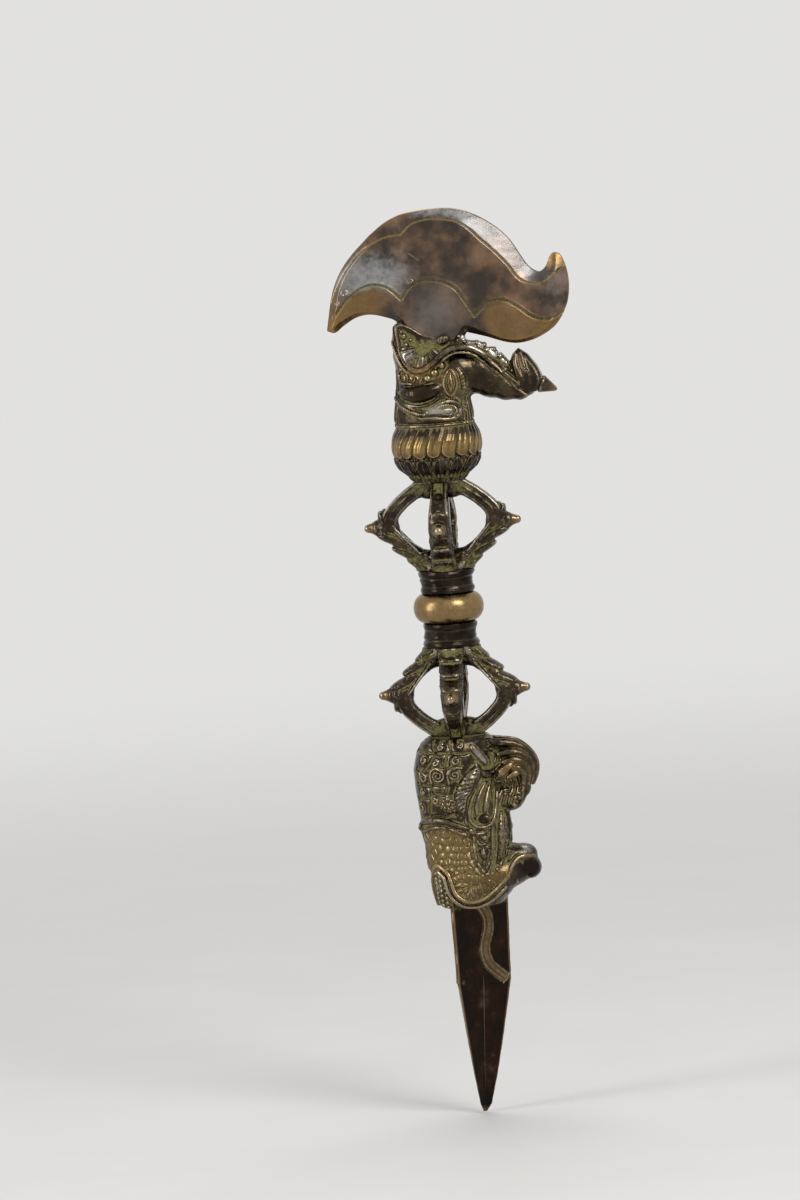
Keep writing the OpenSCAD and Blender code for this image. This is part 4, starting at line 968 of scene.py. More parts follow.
def lower_face(clay):
    """Ledge, brow, striped horn, ear, bead, leaf and the leafed column."""
    for sunk, melt, path in (
            (0.1, 0.15, [[-13.9, -28.6, 0.7], [-12.6, -26.6, 0.95], [-9.3, -25.8, 1.1], [-5.4, -26, 1.1],
                         [-2.9, -26.9, 1.05], [0.4, -28.2, 0.9], [3, -29.4, 0.6]]),
            (0, 0.1, [[-13.4, -29.8, 0.4], [-8.6, -27.9, 0.45], [-4.2, -28.3, 0.45], [1.2, -30.6, 0.4]]),
            (-0.4, 0.05, [[4.8, -2.6, 0.7], [5.2, -3.4, 1.15], [6.5, -5.2, 1.2], [8.2, -7.8, 1.1],
                          [8.7, -8.8, 0.6]]),
            (0, 0.1, [[9.6, -3.6, 0.4], [13.4, -4.8, 0.5], [13.2, -8.4, 0.45]]),
            (0, 0.1, [[8.8, -4.4, 0.35], [11.6, -6, 0.4], [11.4, -9, 0.35]]),
            (-0.3, 0.05, [[5.6, -8.6, 0.5], [6.6, -11, 1.1], [8.7, -12.1, 1.35], [11, -11.5, 1.15],
                          [13.2, -9.6, 0.5]])):
        clay.draw(path, sunk, melt)
    for k in range(7):
        t = (k + 0.5) / 7
        clay.bead(6.4 + 5.8 * t, -10.4 - 1.7 * math.sin(math.pi * t), (0.38, 0.5, 0.38), -1.5, 0.1)
    horn = np.array([[5.8, -9.8, 1.4], [4.8, -11.7, 2.4], [2.6, -14.5, 2.7], [0.8, -17.2, 2.5],
                     [0.1, -19.9, 2.2], [0.3, -22.6, 1.6], [0.9, -24.8, 0.7]])
    clay.draw(horn, 0.5, 0.1)
    path = curve(horn, 2)
    way = np.gradient(path[:, :2], axis=0)
    way /= np.hypot(way[:, 0], way[:, 1])[:, None]
    for k in range(1, len(path) - 1):
        x, z, r = path[k]
        dx, dz = way[k]
        y = clay.front_at(x, z) + 0.5
        slant = 0.9 * r
        clay.tube([[x + dz * r * side + dx * along * slant, y - deep * r,
                    z - dx * r * side + dz * along * slant, wide] for side, along, deep, wide in HORN_STRIPE],
                  0.02, carve=True)
    for k in range(6):
        clay.bead(5.6 - 0.72 * k, -14.6 - 1.75 * k, (0.95, 0.6, 0.35), 0.1, 0.05, 20)
    for sunk, melt, path in (
            (-0.2, 0.05, [[7.6, -12.8, 0.4], [5, -16.8, 0.55], [3.3, -20.6, 0.6], [2.6, -24.6, 0.6],
                          [3.4, -27, 0.6], [5.7, -28.6, 0.6], [8.6, -28.2, 0.55], [10, -26.4, 0.5]]),
            (-0.2, 0.05, [[9.6, -12.8, 0.4], [11.1, -14.6, 0.5], [11.4, -18.4, 0.55], [10.6, -24, 0.5],
                          [10, -26.4, 0.4]]),
            (0, 0.1, [[8.2, -14.6, 0.4], [6.2, -18, 0.75], [4.9, -21.6, 0.85], [5, -24.4, 0.5]]),
            (0, 0.1, [[9.8, -14.4, 0.4], [8.5, -18.2, 0.85], [7.6, -22.4, 0.95], [7.3, -24.6, 0.5]])):
        clay.draw(path, sunk, melt)
    clay.draw([[9.2, -14.6, 0.2], [7.4, -18.4, 0.32], [6.2, -23, 0.3]], 0, 0.05, carve=True)
    clay.bead(6.8, -26, (2.5, 1.2, 1.6), 0.1, 0.1)
    clay.draw([[1.6, -23.4, 0.4], [1.5, -27, 0.5], [3.2, -30, 0.5], [6.6, -30.4, 0.5], [9.6, -28.6, 0.4]],
              0, 0.1)
    clay.bead(6.8, -31.9, 0.95, 0, 0.05)
    for sunk, melt, path in (
            (0, 0.1, [[5, -30.8, 0.35], [4.4, -32.6, 0.4], [5.6, -34, 0.45], [7.8, -33.6, 0.45],
                      [8.2, -32, 0.35]]),
            (-0.1, 0.05, [[3.6, -31.4, 0.4], [3.5, -35, 0.5], [3.9, -38.9, 0.5], [5.2, -41.6, 0.45],
                          [6.2, -43.4, 0.35]]),
            (-0.1, 0.05, [[6.2, -34.6, 0.35], [8.4, -35.8, 0.5], [7.9, -39.6, 0.5], [6.2, -42.6, 0.35]]),
            (0.2, 0.05, [[6.2, -35.2, 0.4], [6.1, -37.8, 1.1], [6.1, -40.8, 0.4]]),
            (-0.2, 0.05, [[9.5, -26.8, 0.5], [9.2, -31, 0.6], [8.9, -35.6, 0.6], [8.7, -39.6, 0.6],
                          [7, -43.6, 0.5]]),
            (0, 0.1, [[1.9, -33.6, 0.35], [1.7, -37, 0.45], [2.6, -40.4, 0.45], [4.8, -43.6, 0.4]]),
            (0.3, 0.1, [[12, -25.4, 1], [11.6, -30.2, 1.5], [11.4, -35.2, 1.5], [10.2, -40.4, 0.9]])):
        clay.draw(path, sunk, melt)
    for k in range(6):
        z = -26.8 - 2.2 * k
        clay.draw([[13, z + 0.6, 0.22], [11.4, z - 1, 0.26], [10.6, z - 0.2, 0.2]],
                  -0.9, 0.05, carve=True, steps=2)
        clay.bead(12.9, z - 0.8, (0.75, 0.8, 0.85), 0.1, 0.1)
    clay.draw([[13.8, -24.4, 0.5], [14.2, -28, 0.55], [14.1, -32.4, 0.5], [13.6, -36.6, 0.5],
               [11.2, -41, 0.5]], -0.1, 0.05)
    clay.limb([[14, -26, 0.9, 2.4], [14.2, -30, 1, 2.2], [14.2, -34.4, 0.9, 2]], 0.5)


def lower_mouth(clay):
    """The lip, the nose with its ring, and the beads and teeth behind the lip's corner."""
    lip = curve(LOWER_LIP, 4)
    clay.tube(edge_path(lip, -0.25, 0.72), 0.1)
    clay.tube(edge_path(beside(lip, 0.95)[18:62], 0.1, 0.3), 0.05, carve=True)
    clay.tube(edge_path(beside(lip, 1.8)[20:58], 0.1, 0.6), 0.15)
    clay.tube(edge_path(beside(lip, -1.7)[56:74], 0.3, 0.4), 0.15)
    clay.ball([20.2, 0, -43.6], (3.5, 4.6, 3.7), 0.3)
    clay.ball([18.2, 0, -39], (4.2, 4.4, 3), 1.2)
    clay.tube(curve([[15.8, -7, -40.8, 0.5], [15.2, -7.4, -44, 0.6], [16, -6.6, -47.4, 0.5]], 4), 0.15)
    clay.tube([[x, -4.1, z, 0.26] for x, z in small_ring(20.3, -45.6, 0.75)], 0.1)
    for x, r in ((-9.6, 0.75), (-8.2, 0.85), (-6.8, 0.8)):
        for k in range(7):
            clay.bead(x + 0.12 * k, -43.2 - 1.55 * k - 0.5 * (x + 9.2), (r, 0.9, 0.72), 0, 0.05)


def lower_gold(x, y, z):
    cheek = within(x, z, [(-12.6, -30.4), (-6, -28.6), (-1, -30), (2.6, -33), (2.6, -38.6), (6, -43.6),
                          (11, -43), (14, -41.4), (11.4, -47), (7.4, -51), (1.6, -52.6), (-4, -49.6),
                          (-6.4, -43.4), (-9, -41), (-12, -43)], 2)
    lip = line_distance(x, z, curve(LOWER_LIP, 3))
    beans = spot(x, z, 1.5, 15.6, -11.6, 3, 3)
    flutes = unit((x - 13) / 4) * unit((z + 22) / 5) * 0.12
    worn = 0.75 - 0.4 * unit((-43 - z) / 6)
    return unit(worn * cheek + 0.4 * unit(1.3 - lip) + 0.65 * beans + flutes)


def lower_grime(x, y, z):
    top = unit((z + 2.6) / 2.4)
    beard = spot(x, z, 1.3, 15, -19.6, 4.5, 4.6)
    nose = spot(x, z, 1.3, 14.4, -38, 3.6, 3)
    leaf = spot(x, z, 1.2, 3, -37, 2.2, 6)
    under = unit((-52 - z) / 1.5)
    return unit(0.7 * top + 0.5 * beard + 0.45 * nose + 0.4 * leaf + 0.5 * under)


def lower_dark(x, y, z):
    bead = unit(2 - 1.6 * np.hypot((x - 6.8) / 2.4, (z + 26) / 1.7))
    return np.maximum(spot(x, z, 1.8, 20.6, -43.8, 3, 3), 0.6 * bead)


def lower_pale(x, y, z):
    bar_end = unit(1.8 - line_distance(x, z, np.array([[4.8, -2.8], [8.4, -8.2]])))
    saddle = spot(x, z, 1.5, 19, -37.4, 3.4, 1.7)
    corner = within(x, z, [(-10.4, -43), (-8.8, -41.4), (-6.4, -44.4), (-4.6, -52), (-6, -55),
                           (-10.4, -55)], 1)
    horn = unit(1.6 - line_distance(x, z, np.array([[5.4, -10], [1.6, -16], [0.2, -21]])) / 1.8)
    return unit(0.6 * bar_end + 0.45 * saddle + 0.4 * corner + 0.3 * horn)


clay_piece("lower_head", lower_head(), "head_bronze", head_metal, moved(lower_z),
           gold=lower_gold, grime=lower_grime, pale=lower_pale, dark=lower_dark)

# Prongs
# From the knee to the nub's tip, and how far from the axis the arm and the bow begin
KNEE_TO_TIP = 8.05
ARM_R, BOW_R = 5.6, 3.9


def on_side(path, y):
    return [[x, y, z, radius] for x, z, radius in path]


def prong_form(h, tip_r):
    """One prong along +x from its foot at height 0 to its far end at height h."""
    knee = np.array([tip_r - KNEE_TO_TIP, 0.51 * h])
    foot = np.array([ARM_R, 0.03 * h])
    clay = Clay((1.6, -4.6, -0.3), (tip_r + 0.5, 4.6, h + 0.3), 0.21)
    out, back = knee[0] - ARM_R, knee[0] - BOW_R
    arm = [[4.8, -0.6, 3.2, 3.5], [ARM_R, 0.08 * h, 3.1, 3.5], [ARM_R + out * 0.4, 0.21 * h, 2.5, 3.3],
           [ARM_R + out * 0.78, 0.36 * h, 2.2, 3.2], [*knee, 2.5, 3.2]]
    bow = [[*knee, 2.5, 3.2], [BOW_R + back * 0.92, 0.655 * h, 2.3, 2.9],
           [BOW_R + back * 0.58, 0.81 * h, 2.2, 2.3], [BOW_R + back * 0.18, 0.935 * h, 2.3, 1.95],
           [3.4, h + 0.8, 2.4, 1.9]]
    clay.limb(curve(arm, 3), 0.2, 3)
    clay.limb(curve(bow, 3), 0.6, 3)
    clay.ball([3.6, 0, h - 0.6], (4.6, 2.6, 5.2), 1)
    clay.ball([4.8, 0, 1], (4.6, 3.6, 5.6), 1)
    length = np.linalg.norm(knee - foot)
    along = (knee - foot) / length
    outward = np.array([along[1], -along[0]])

    def at(share, off):
        return foot + along * length * share + outward * off
    for tip, size in ((0.3, 0.8), (0.64, 1.05), (0.98, 1.2)):
        lobe = [(*at(tip - 0.46, 0.4), 0.8, 3.1), (*at(tip - 0.22, 1.5), 1.2 * size, 3.2),
                (*at(tip - 0.06, 2.4 * size), 1.15 * size, 2.9),
                (*at(tip + 0.04, 3.5 * size), 0.5 * size, 1.9)]
        clay.limb(curve(lobe, 3), 0.05)
        for shift in (0, 0.9):
            vein = [(*at(tip - 0.46, shift - 1.7), 0.32), (*at(tip - 0.2, shift - 0.5), 0.38),
                    (*at(tip - 0.02, shift + 1.3), 0.32)]
            clay.tube(on_side(curve(vein, 3), -3.5), 0.05, carve=True)
    flame = [(*(knee + (0, -0.8)), 1.2, 2.9), (*(knee + (1.7, 1.6)), 1.3, 2.7),
             (*(knee + (2.2, 3.4)), 1, 2.2), (*(knee + (2.7, 4.9)), 0.45, 1.2)]
    clay.limb(curve(flame, 3), 0.05)
    for off in (-1.5, -0.6):
        path = [(*at(0.02, off), 0.36), (*at(0.5, off), 0.4), (*at(0.98, off * 0.8), 0.36)]
        clay.tube(on_side(path, -3.25), 0.1)
    line = curve(bow, 4)
    for off in (-0.72, 0.1, 0.85):
        q = beside(line, off * line[:, 2:3])
        clay.tube(np.column_stack([q[:, 0], 0.1 - line[:, 3] * (1 - 0.14 * off * off), q[:, 1],
                                   np.full(len(q), 0.55)]), 0.05)
    for turn in (-1, 1):
        hood = [[knee[0] + 1.4, 0, knee[1] + 5.6, 0.5], [knee[0] + 2.2, turn, knee[1] + 3.6, 0.6],
                [knee[0] + 2.7, 2.2 * turn, knee[1] + 1, 0.7],
                [knee[0] + 2.3, 2.5 * turn, knee[1] - 1.6, 0.6]]
        clay.tube(curve(hood, 3), 0.3)
    clay.tube([[knee[0], 0, knee[1], 3.2], [tip_r - 4.7, 0, knee[1], 2.6],
               [tip_r - 3.3, 0, knee[1], 1.9]], 0.6)
    clay.tube([[tip_r - 3.6, 0, knee[1], 1.95], [tip_r - 1.35, 0, knee[1], 1.35]], 0.2)
    clay.cut(lambda x, y, z: np.maximum(np.maximum(-z, z - h), np.abs(y) - x + 0.05))
    clay.roughen(0.03, 2.3)
    return clay.surface()


def prong_gold(tip_r, share):
    return lambda x, y, z: unit((x - tip_r + 4) / 1.6) * share


def prong_grime(h):
    def grime(x, y, z):
        ends = unit(1.3 - z / 5) + unit((z - h + 6.5) / 4.5)
        inner = unit(1 - np.abs(np.hypot(x - 3, z - 0.5 * h) - 8.4) / 3) * 0.35
        return unit(0.9 * ends + inner)
    return grime


for cage, foot_z, h, tip_r, flip in (("upper", neck_top, leaf_z - neck_top, upper_tip_r, False),
                                     ("lower", neck_foot, neck_foot - lower_z, lower_tip_r, True)):
    surface = prong_form(h, tip_r)
    for side, degrees, worn in (("front", -90, 1), ("right", 0, 0.45), ("back", 90, 0.7), ("left", 180, 0.5)):
        made = clay_piece(f"{cage}_prong_{side}", surface, "prong_bronze", prong_metal,
                          turned(degrees, foot_z, flip), gold=prong_gold(tip_r, worn), grime=prong_grime(h))
        if flip:
            made.data.flip_normals()

# Collars, necks and knob
# How far petals hang over the leaves, and the degrees from one petal or leaf to the next
PETAL_DROOP = 1.5
PETAL_TURN, LEAF_TURN = 20, 24


def rows_of(height, rows, count):
    """Heights of the rows, their share of the whole height, and the columns' angles in degrees."""
    z = np.linspace(0, height, rows)
    return z, (z / height)[:, None], np.degrees(angles(count))[None, :]


def petal_collar():
    """Leaning tongues whose round lower ends droop over the leaves."""
    z, share, a = rows_of(upper_z - petal_z + PETAL_DROOP, 90, 720)
    total = np.interp(share, [0, 0.1, 0.24, 0.4, 0.58, 0.76, 0.9, 1],
                      [13.6, 14, 14.4, 14.5, 14.3, 13.7, 12.9, 12.4])
    lean = np.interp(share, [0, 0.2, 0.45, 0.75, 1], [0, -2, 0, 5, 9])
    cell = ((a - lean) / PETAL_TURN) % 1 * 2 - 1
    end = unit((share - 0.17 * np.abs(cell) ** 2 - 0.02 * np.sin(a / 6)) / 0.06) ** 0.5
    tongue = (1 - np.abs(cell) ** 4.5) ** 0.5 * end
    swell = np.interp(share, [0, 0.16, 0.4, 0.7, 1], [1.2, 1.15, 0.85, 0.65, 0.45])
    rib = 0.15 * np.exp(-((cell - 0.25) / 0.2) ** 2) - 0.1 * np.exp(-((cell + 0.2) / 0.25) ** 2)
    radius = total - swell + swell * tongue + rib * tongue * unit(share * 3)
    gold = unit(1.25 - np.abs(share - 0.38) * 3.2) * unit(tongue * 1.4 - 0.2)
    grime = 0.4 * unit(1 - share / 0.08) + 0.5 * unit((share - 0.92) / 0.08)
    turned_piece("petal_collar", radius, z, "golden_brass", petal_metal, moved(petal_z - PETAL_DROOP),
                 gold, grime)


def leaf_collar():
    """Two tiers of pointed leaves, each with a hollow face and a rib."""
    z, share, a = rows_of(petal_z - leaf_z, 100, 768)
    body = np.interp(share, [0, 0.1, 0.22, 0.3, 0.46, 0.66, 0.85, 1],
                     [7.2, 8.2, 8.9, 9.8, 11.6, 12.7, 13, 12.4])
    radius = body
    for shift, top, rise in ((0.5, 0.98, 0.55), (0, 0.9, 1.05)):
        cell = (a / LEAF_TURN + shift) % 1 * 2 - 1
        half = np.interp(share / top, [0, 0.18, 0.3, 0.55, 0.75, 0.9, 1], [0, 0.55, 0.85, 0.98, 0.8, 0.42, 0])
        inside = unit(1 - np.abs(cell) / np.maximum(half, 0.01)) * (half > 0.02)
        leaf = rise * unit(inside * 5) ** 0.5 - 0.3 * unit((inside - 0.16) * 8)
        leaf += 0.32 * np.exp(-(cell / 0.08) ** 2) * (inside > 0.2)
        radius = np.maximum(radius, body + leaf * (inside > 0))
    grime = 0.8 * unit((0.34 - share) / 0.12) + 0.4 * unit((share - 0.93) / 0.07)
    turned_piece("leaf_collar", radius, z, "dark_bronze", leaf_metal, moved(leaf_z), grime=grime)


def neck_piece(node, height, place):
    """A neck: a dented waist between two rings, the narrower ring next to the knob."""
    z = np.linspace(0, height, 90)
    up, a = z[:, None], angles(360)
    waist = np.interp(up, [0, 0.15, 0.9, 1.7, 2.2,
                           height - 2.2, height - 1.8, height - 0.9, height - 0.15, height],
                      [8.1, 8.5, 8.7, 8.5, 8.2, 8.35, 8.75, 9.08, 8.85, 8.3])
    dents = 0.1 * np.sin(3 * a + 1) * np.sin(up * 1.1) + 0.06 * np.sin(7 * a + up)
    ridge = 0.22 * np.exp(-((up - 0.58 * height) / 0.35) ** 2) * (0.6 + 0.4 * np.sin(2 * a + 0.6))
    under = unit(1 - np.abs(up - 1.95) / 0.5)
    over = unit(1 - np.abs(up - height + 2) / 0.5) + unit((up - height + 0.5) / 0.5)
    return turned_piece(node, waist + dents + ridge, z, "dark_bronze", neck_metal, place,
                        grime=0.5 * (under + over))


def knob_piece():
    """The knob: a flattened ball. The term after its heights keeps them apart at both ends."""
    t = np.linspace(-math.pi / 2, math.pi / 2, 72)
    across, a = t[:, None], angles(360)
    round_part = np.cos(across) ** 0.8
    radius = 6.4 + (knob_r - 6.45) * round_part
    uneven = 0.09 * np.sin(2 * a + 0.7) * round_part + 0.05 * np.sin(5 * a) * np.cos(2 * across)
    grime = 0.8 * unit((np.abs(across) - 1.25) / 0.3)
    turned_piece("grip_knob", radius - 0.12 + uneven, knob_half * np.sin(t) + 1e-4 * t, "polished_brass",
                 knob_metal, moved(0), 0.4, grime)


petal_collar()
leaf_collar()
neck_piece("upper_neck", neck_top - knob_half, moved(knob_half))
neck_piece("lower_neck", -knob_half - neck_foot, turned(0, -knob_half, True)).data.flip_normals()
knob_piece()

# Crescent
CRESCENT = [(-32.2, 6.7), (-29.5, 19.2), (-25.3, 27.2), (-19.6, 33.3), (-13.9, 38.2), (-7.7, 41.6),
            (-0.5, 42.9), (6.7, 43.2), (12.5, 42.3), (18.3, 39.8), (23.9, 35.8), (27.8, 31.7), (30.4, 27.3),
            (33.1, 23), (36.2, 21.1), (38.4, 22.6), (39.8, 25.5), (41.4, 26.8), (43.4, 25.8), (44.8, 22.1),
            (45.4, 17.3), (44.9, 12), (43.3, 8), (40.6, 4), (36.8, 1.3), (32.6, -0.4), (28.4, -1.1),
            (23.7, -0.4), (18.5, 1.5), (12.1, 3.4)]
CRESCENT_LEFT = [(-5.4, 0.6), (-8.4, 4.6), (-10.1, 8.3), (-14.1, 10.1), (-18.8, 11), (-23, 10.1), (-26.7, 8),
                 (-29.6, 5.9), (-32.2, 6.7)]
# The two engraved lines, each in three runs of x and height
UPPER_LINE = [
    [(-30.2, 15.2), (-27.3, 21.2), (-23.6, 26.8), (-19, 31.4), (-12.5, 35), (-6.8, 35.7)],
    [(-6.8, 35.7), (-4.3, 38), (-1.5, 39.4), (3.8, 40.1), (10.4, 39), (14.2, 37), (18.4, 32.6)],
    [(18.4, 32.6), (22.2, 29), (26.5, 24.1), (29.5, 19.7), (33.3, 17.6), (37.3, 17.8), (40.8, 20.5)]]
LOWER_LINE = [
    [(-29.5, 10.9), (-26.6, 14.6), (-23.1, 17.9), (-19.4, 20), (-15.8, 20.5), (-11.6, 19), (-7.8, 15.2)],
    [(-7.8, 15.2), (-5, 18.8), (-1.4, 20.6), (2.1, 20.6), (6.2, 19.6), (9.8, 17.2), (12.8, 12.4),
     (15.1, 8.3)],
    [(15.1, 8.3), (19.4, 12.4), (24.6, 12.9), (29, 10.4), (33, 7.2), (37.2, 6), (41.4, 6.9), (43.6, 8.7)]]
# Corners that close the side above the upper line and the side below the lower one
ABOVE_UPPER = [(60, 30), (60, 60), (-60, 60), (-60, 10)]
BELOW_LOWER = [(60, 8), (60, -30), (-60, -30), (-60, 8)]
RING_BEADS = [(-25.6, 18.4, 0.95), (-4.6, 20.6, 0.8), (-28.3, 15.2, 0.7)]
# The crescent's height over its own zero, and the bevel that faces up and right
CRESCENT_HEIGHT = 43.4
BEVEL_SLOPE = [(12.4, 38.6), (17.8, 33.4), (26.1, 24.7), (33.3, 17.7), (39, 20), (36, 24), (30, 34), (20, 44)]


def nearest(x, z, runs, steps):
    return np.minimum.reduce([line_distance(x, z, curve(run, steps)) for run in runs])


def beyond(x, z, runs, rest):
    """Whether a place lies on the far side of a scalloped line, up to the corners in rest."""
    return polygon_distance(x, z, np.vstack([*[curve(run, 5) for run in runs], rest])) < 0


def crescent():
    """A plate that is bevelled above the upper line and cushioned below the lower one, on a square root."""
    clay = Clay((-33.4, -4.6, -9.4), (46.6, 4.6, 44.2), 0.22)
    x, y, z = (clay.corner[i] + clay.step * np.arange(clay.d.shape[i]) for i in range(3))
    x, z = x[:, None], z[None, :]
    edge = -polygon_distance(x, z, np.vstack([curve(CRESCENT, 4), [[9, -1], [-5.4, -1]],
                                              curve(CRESCENT_LEFT, 4)[:-1]]))
    to_upper, to_lower = nearest(x, z, UPPER_LINE, 5), nearest(x, z, LOWER_LINE, 5)
    bevel = 0.75 + 2.5 * unit(edge / np.maximum(edge + to_upper, 1e-3))
    cushion = 1.3 + 2.1 * np.sqrt(unit(edge / np.maximum(edge + to_lower, 1e-3) * 1.25))
    panel = unit((x + 10.5) / 2) * unit((17 - x) / 3)
    depth = 3.25 + 0.25 * unit(np.minimum(to_upper, to_lower) / 8)
    depth = np.where(beyond(x, z, UPPER_LINE, ABOVE_UPPER), bevel, depth)
    depth = np.where(beyond(x, z, LOWER_LINE, BELOW_LOWER), cushion * (1 - panel) + 3.4 * panel, depth)
    depth = np.minimum(depth, 0.9 + 1.1 * np.maximum(edge, 0))
    depth -= 0.4 * np.exp(-(to_upper / 0.27) ** 2) + 0.4 * np.exp(-(to_lower / 0.27) ** 2)
    depth += 0.2 * np.exp(-((to_lower - 0.7) / 0.3) ** 2)
    clay.d = np.maximum(np.abs(y)[None, :, None] - depth[:, None, :], -edge[:, None, :]).astype(np.float32)
    clay.put(lambda x, y, z: np.maximum(np.maximum(np.abs(x) - 4.9, np.abs(y) - 2.1), np.abs(z + 4) - 4.9),
             (-6, -3, -9), (6, 3, 1), 0)
    clay.measure()
    for at_x, at_z, r in RING_BEADS:
        clay.draw([[*p, 0.28] for p in small_ring(at_x, at_z, r)], 0.05, 0.1, steps=1)
    clay.draw([[-4.6, 30, 0.14], [-1.4, 27.4, 0.14]], carve=True, steps=1)
    clay.roughen(0.03, 9)
    return clay.surface()


def crescent_gold(x, y, z):
    left = within(x, z, [(-33, 5), (-29.8, 10.4), (-23.1, 17.4), (-15.8, 19.8), (-10.4, 17.4), (-11, 9),
                         (-19, 10), (-28, 5)], 1.6)
    right = within(x, z, [(16, 7), (20, 11.6), (24.6, 12.3), (33, 6.8), (41, 6.2), (44.6, 9), (42, 3),
                          (33, -2), (24, -2)], 1.6)
    tips = spot(x, z, 1.3, 41.8, 26, 4, 4) + spot(x, z, 1.5, -31.5, 7.5, 4, 4)
    rim = 0.7 * unit(1 - line_distance(x, z, curve(CRESCENT, 3)) / 0.7)
    fade = unit(unit((x + 12) / -6) + unit((x - 15) / 5))
    drawn = unit(1.4 - nearest(x, z, UPPER_LINE + LOWER_LINE, 3) / 0.32)
    return unit((left + right) * fade * 0.8 + tips + rim + drawn)


def crescent_grime(x, y, z):
    upper, lower = nearest(x, z, UPPER_LINE, 3), nearest(x, z, LOWER_LINE, 3)
    lines = unit(1.3 - np.minimum(upper, np.abs(lower - 0.35)) / 0.36)
    return unit(0.4 * lines + 0.8 * spot(x, z, 1.2, -8.5, 2, 3.4, 6))


def glow_at(x, z, at_x, at_z, wide, tall):
    return np.exp(-((x - at_x) / wide) ** 2 - ((z - at_z) / tall) ** 2)


def crescent_dark(x, y, z):
    return np.clip(0.65 * glow_at(x, z, 3, 10, 8, 9) + 0.8 * within(x, z, BEVEL_SLOPE, 3), 0, 0.8)


def crescent_grey_and_painted_highlight(x, y, z):
    """Where the russet patina has gone grey: left, over the head and at the right end; on the top of the
    bevel the pale metal is a painted highlight.
    """
    patches = [1.05 * glow_at(x, z, -17, 23, 13, 8), 0.3 * glow_at(x, z, 1, 9, 9, 11),
               0.35 * glow_at(x, z, 41, 15, 7, 11)]
    low_lobes = within(x, z, [(-33, 4), (-23, 17.4), (-16, 19.8), (-9, 16), (-9, 4)], 2)
    # Painted highlight: pale metal over the top of the bevel, standing in for a lamp's reflection there
    bevel = within(x, z, [(-3, 41), (5.9, 41), (12.4, 38.6), (15, 36), (20, 42), (5, 46), (-3, 44)], 3)
    return np.clip(np.maximum.reduce(patches) * (1 - low_lobes) + 0.9 * bevel, 0, 1.25)


clay_piece("crescent_blade", crescent(), "russet_bronze", crescent_metal,
           moved(crescent_top - CRESCENT_HEIGHT), gold=crescent_gold, grime=crescent_grime,
           pale=crescent_grey_and_painted_highlight, dark=crescent_dark)

# Jewel at the end of the snout
JEWEL_TILT = math.radians(113.5)


def jewel():
    z, a = np.linspace(0, 5.75, 60), angles(96)
    up = z[:, None]
    radius = np.interp(up, [0, 0.3, 0.9, 1.3, 1.6, 3.4, 5.2, 5.75],
                       [2.5, 2.75, 2.8, 2.55, 2.4, 1.6, 0.75, 0.3])
    c, s = math.cos(JEWEL_TILT), math.sin(JEWEL_TILT)

    def place(v):
        return np.stack([v[:, 0] * c + v[:, 2] * s + SNOUT_FOOT_X, v[:, 1],
                         -v[:, 0] * s + v[:, 2] * c + SNOUT_FOOT_Z + upper_z], 1)
    gold = 0.8 * unit((up - 2.5) / 2.5)
    turned_piece("snout_jewel", radius + 0.06 * np.sin(5 * a), z, "golden_brass", prong_metal, place, gold)


jewel()

# Blade and serpents
BLADE_L = mouth_z - blade_tip_z
EDGE_SHARE = [0, 0.38, 0.62, 0.8, 0.965, 1]
EDGE_R = [12.2, 11.35, 8.05, 5.37, 2.44, 0.75]
BLADE_TURN = 6


def edge_radius(share):
    return np.interp(share, EDGE_SHARE, EDGE_R)


def hollow_radius(edge):
    return np.maximum(edge * 0.12, edge / 2 - np.minimum(1.1, edge * 0.2))


def direction(degrees):
    return np.array([math.cos(math.radians(degrees)), math.sin(math.radians(degrees))])


def face_point(across, share, turn):
    """A point on the face between the edge at the given turn and the next; -1 and 1 are the edges."""
    edge = edge_radius(share)
    a = edge * direction(turn + (-120 if across < 0 else 0))
    b = hollow_radius(edge) * direction(turn - 60)
    return np.array([*(b + (a - b) * abs(across)), mouth_z - BLADE_L * share])


SERPENT = [(-0.05, -0.01, 0.95), (0.24, 0.06, 1), (0.28, 0.13, 1), (0.12, 0.215, 1), (0.2, 0.285, 0.95),
           (0.5, 0.335, 0.9), (0.74, 0.365, 0.8)]


def serpent_path(turn, steps=6):
    return np.array([[*face_point(s[0], s[1], turn), s[2]] for s in curve(SERPENT, steps)])


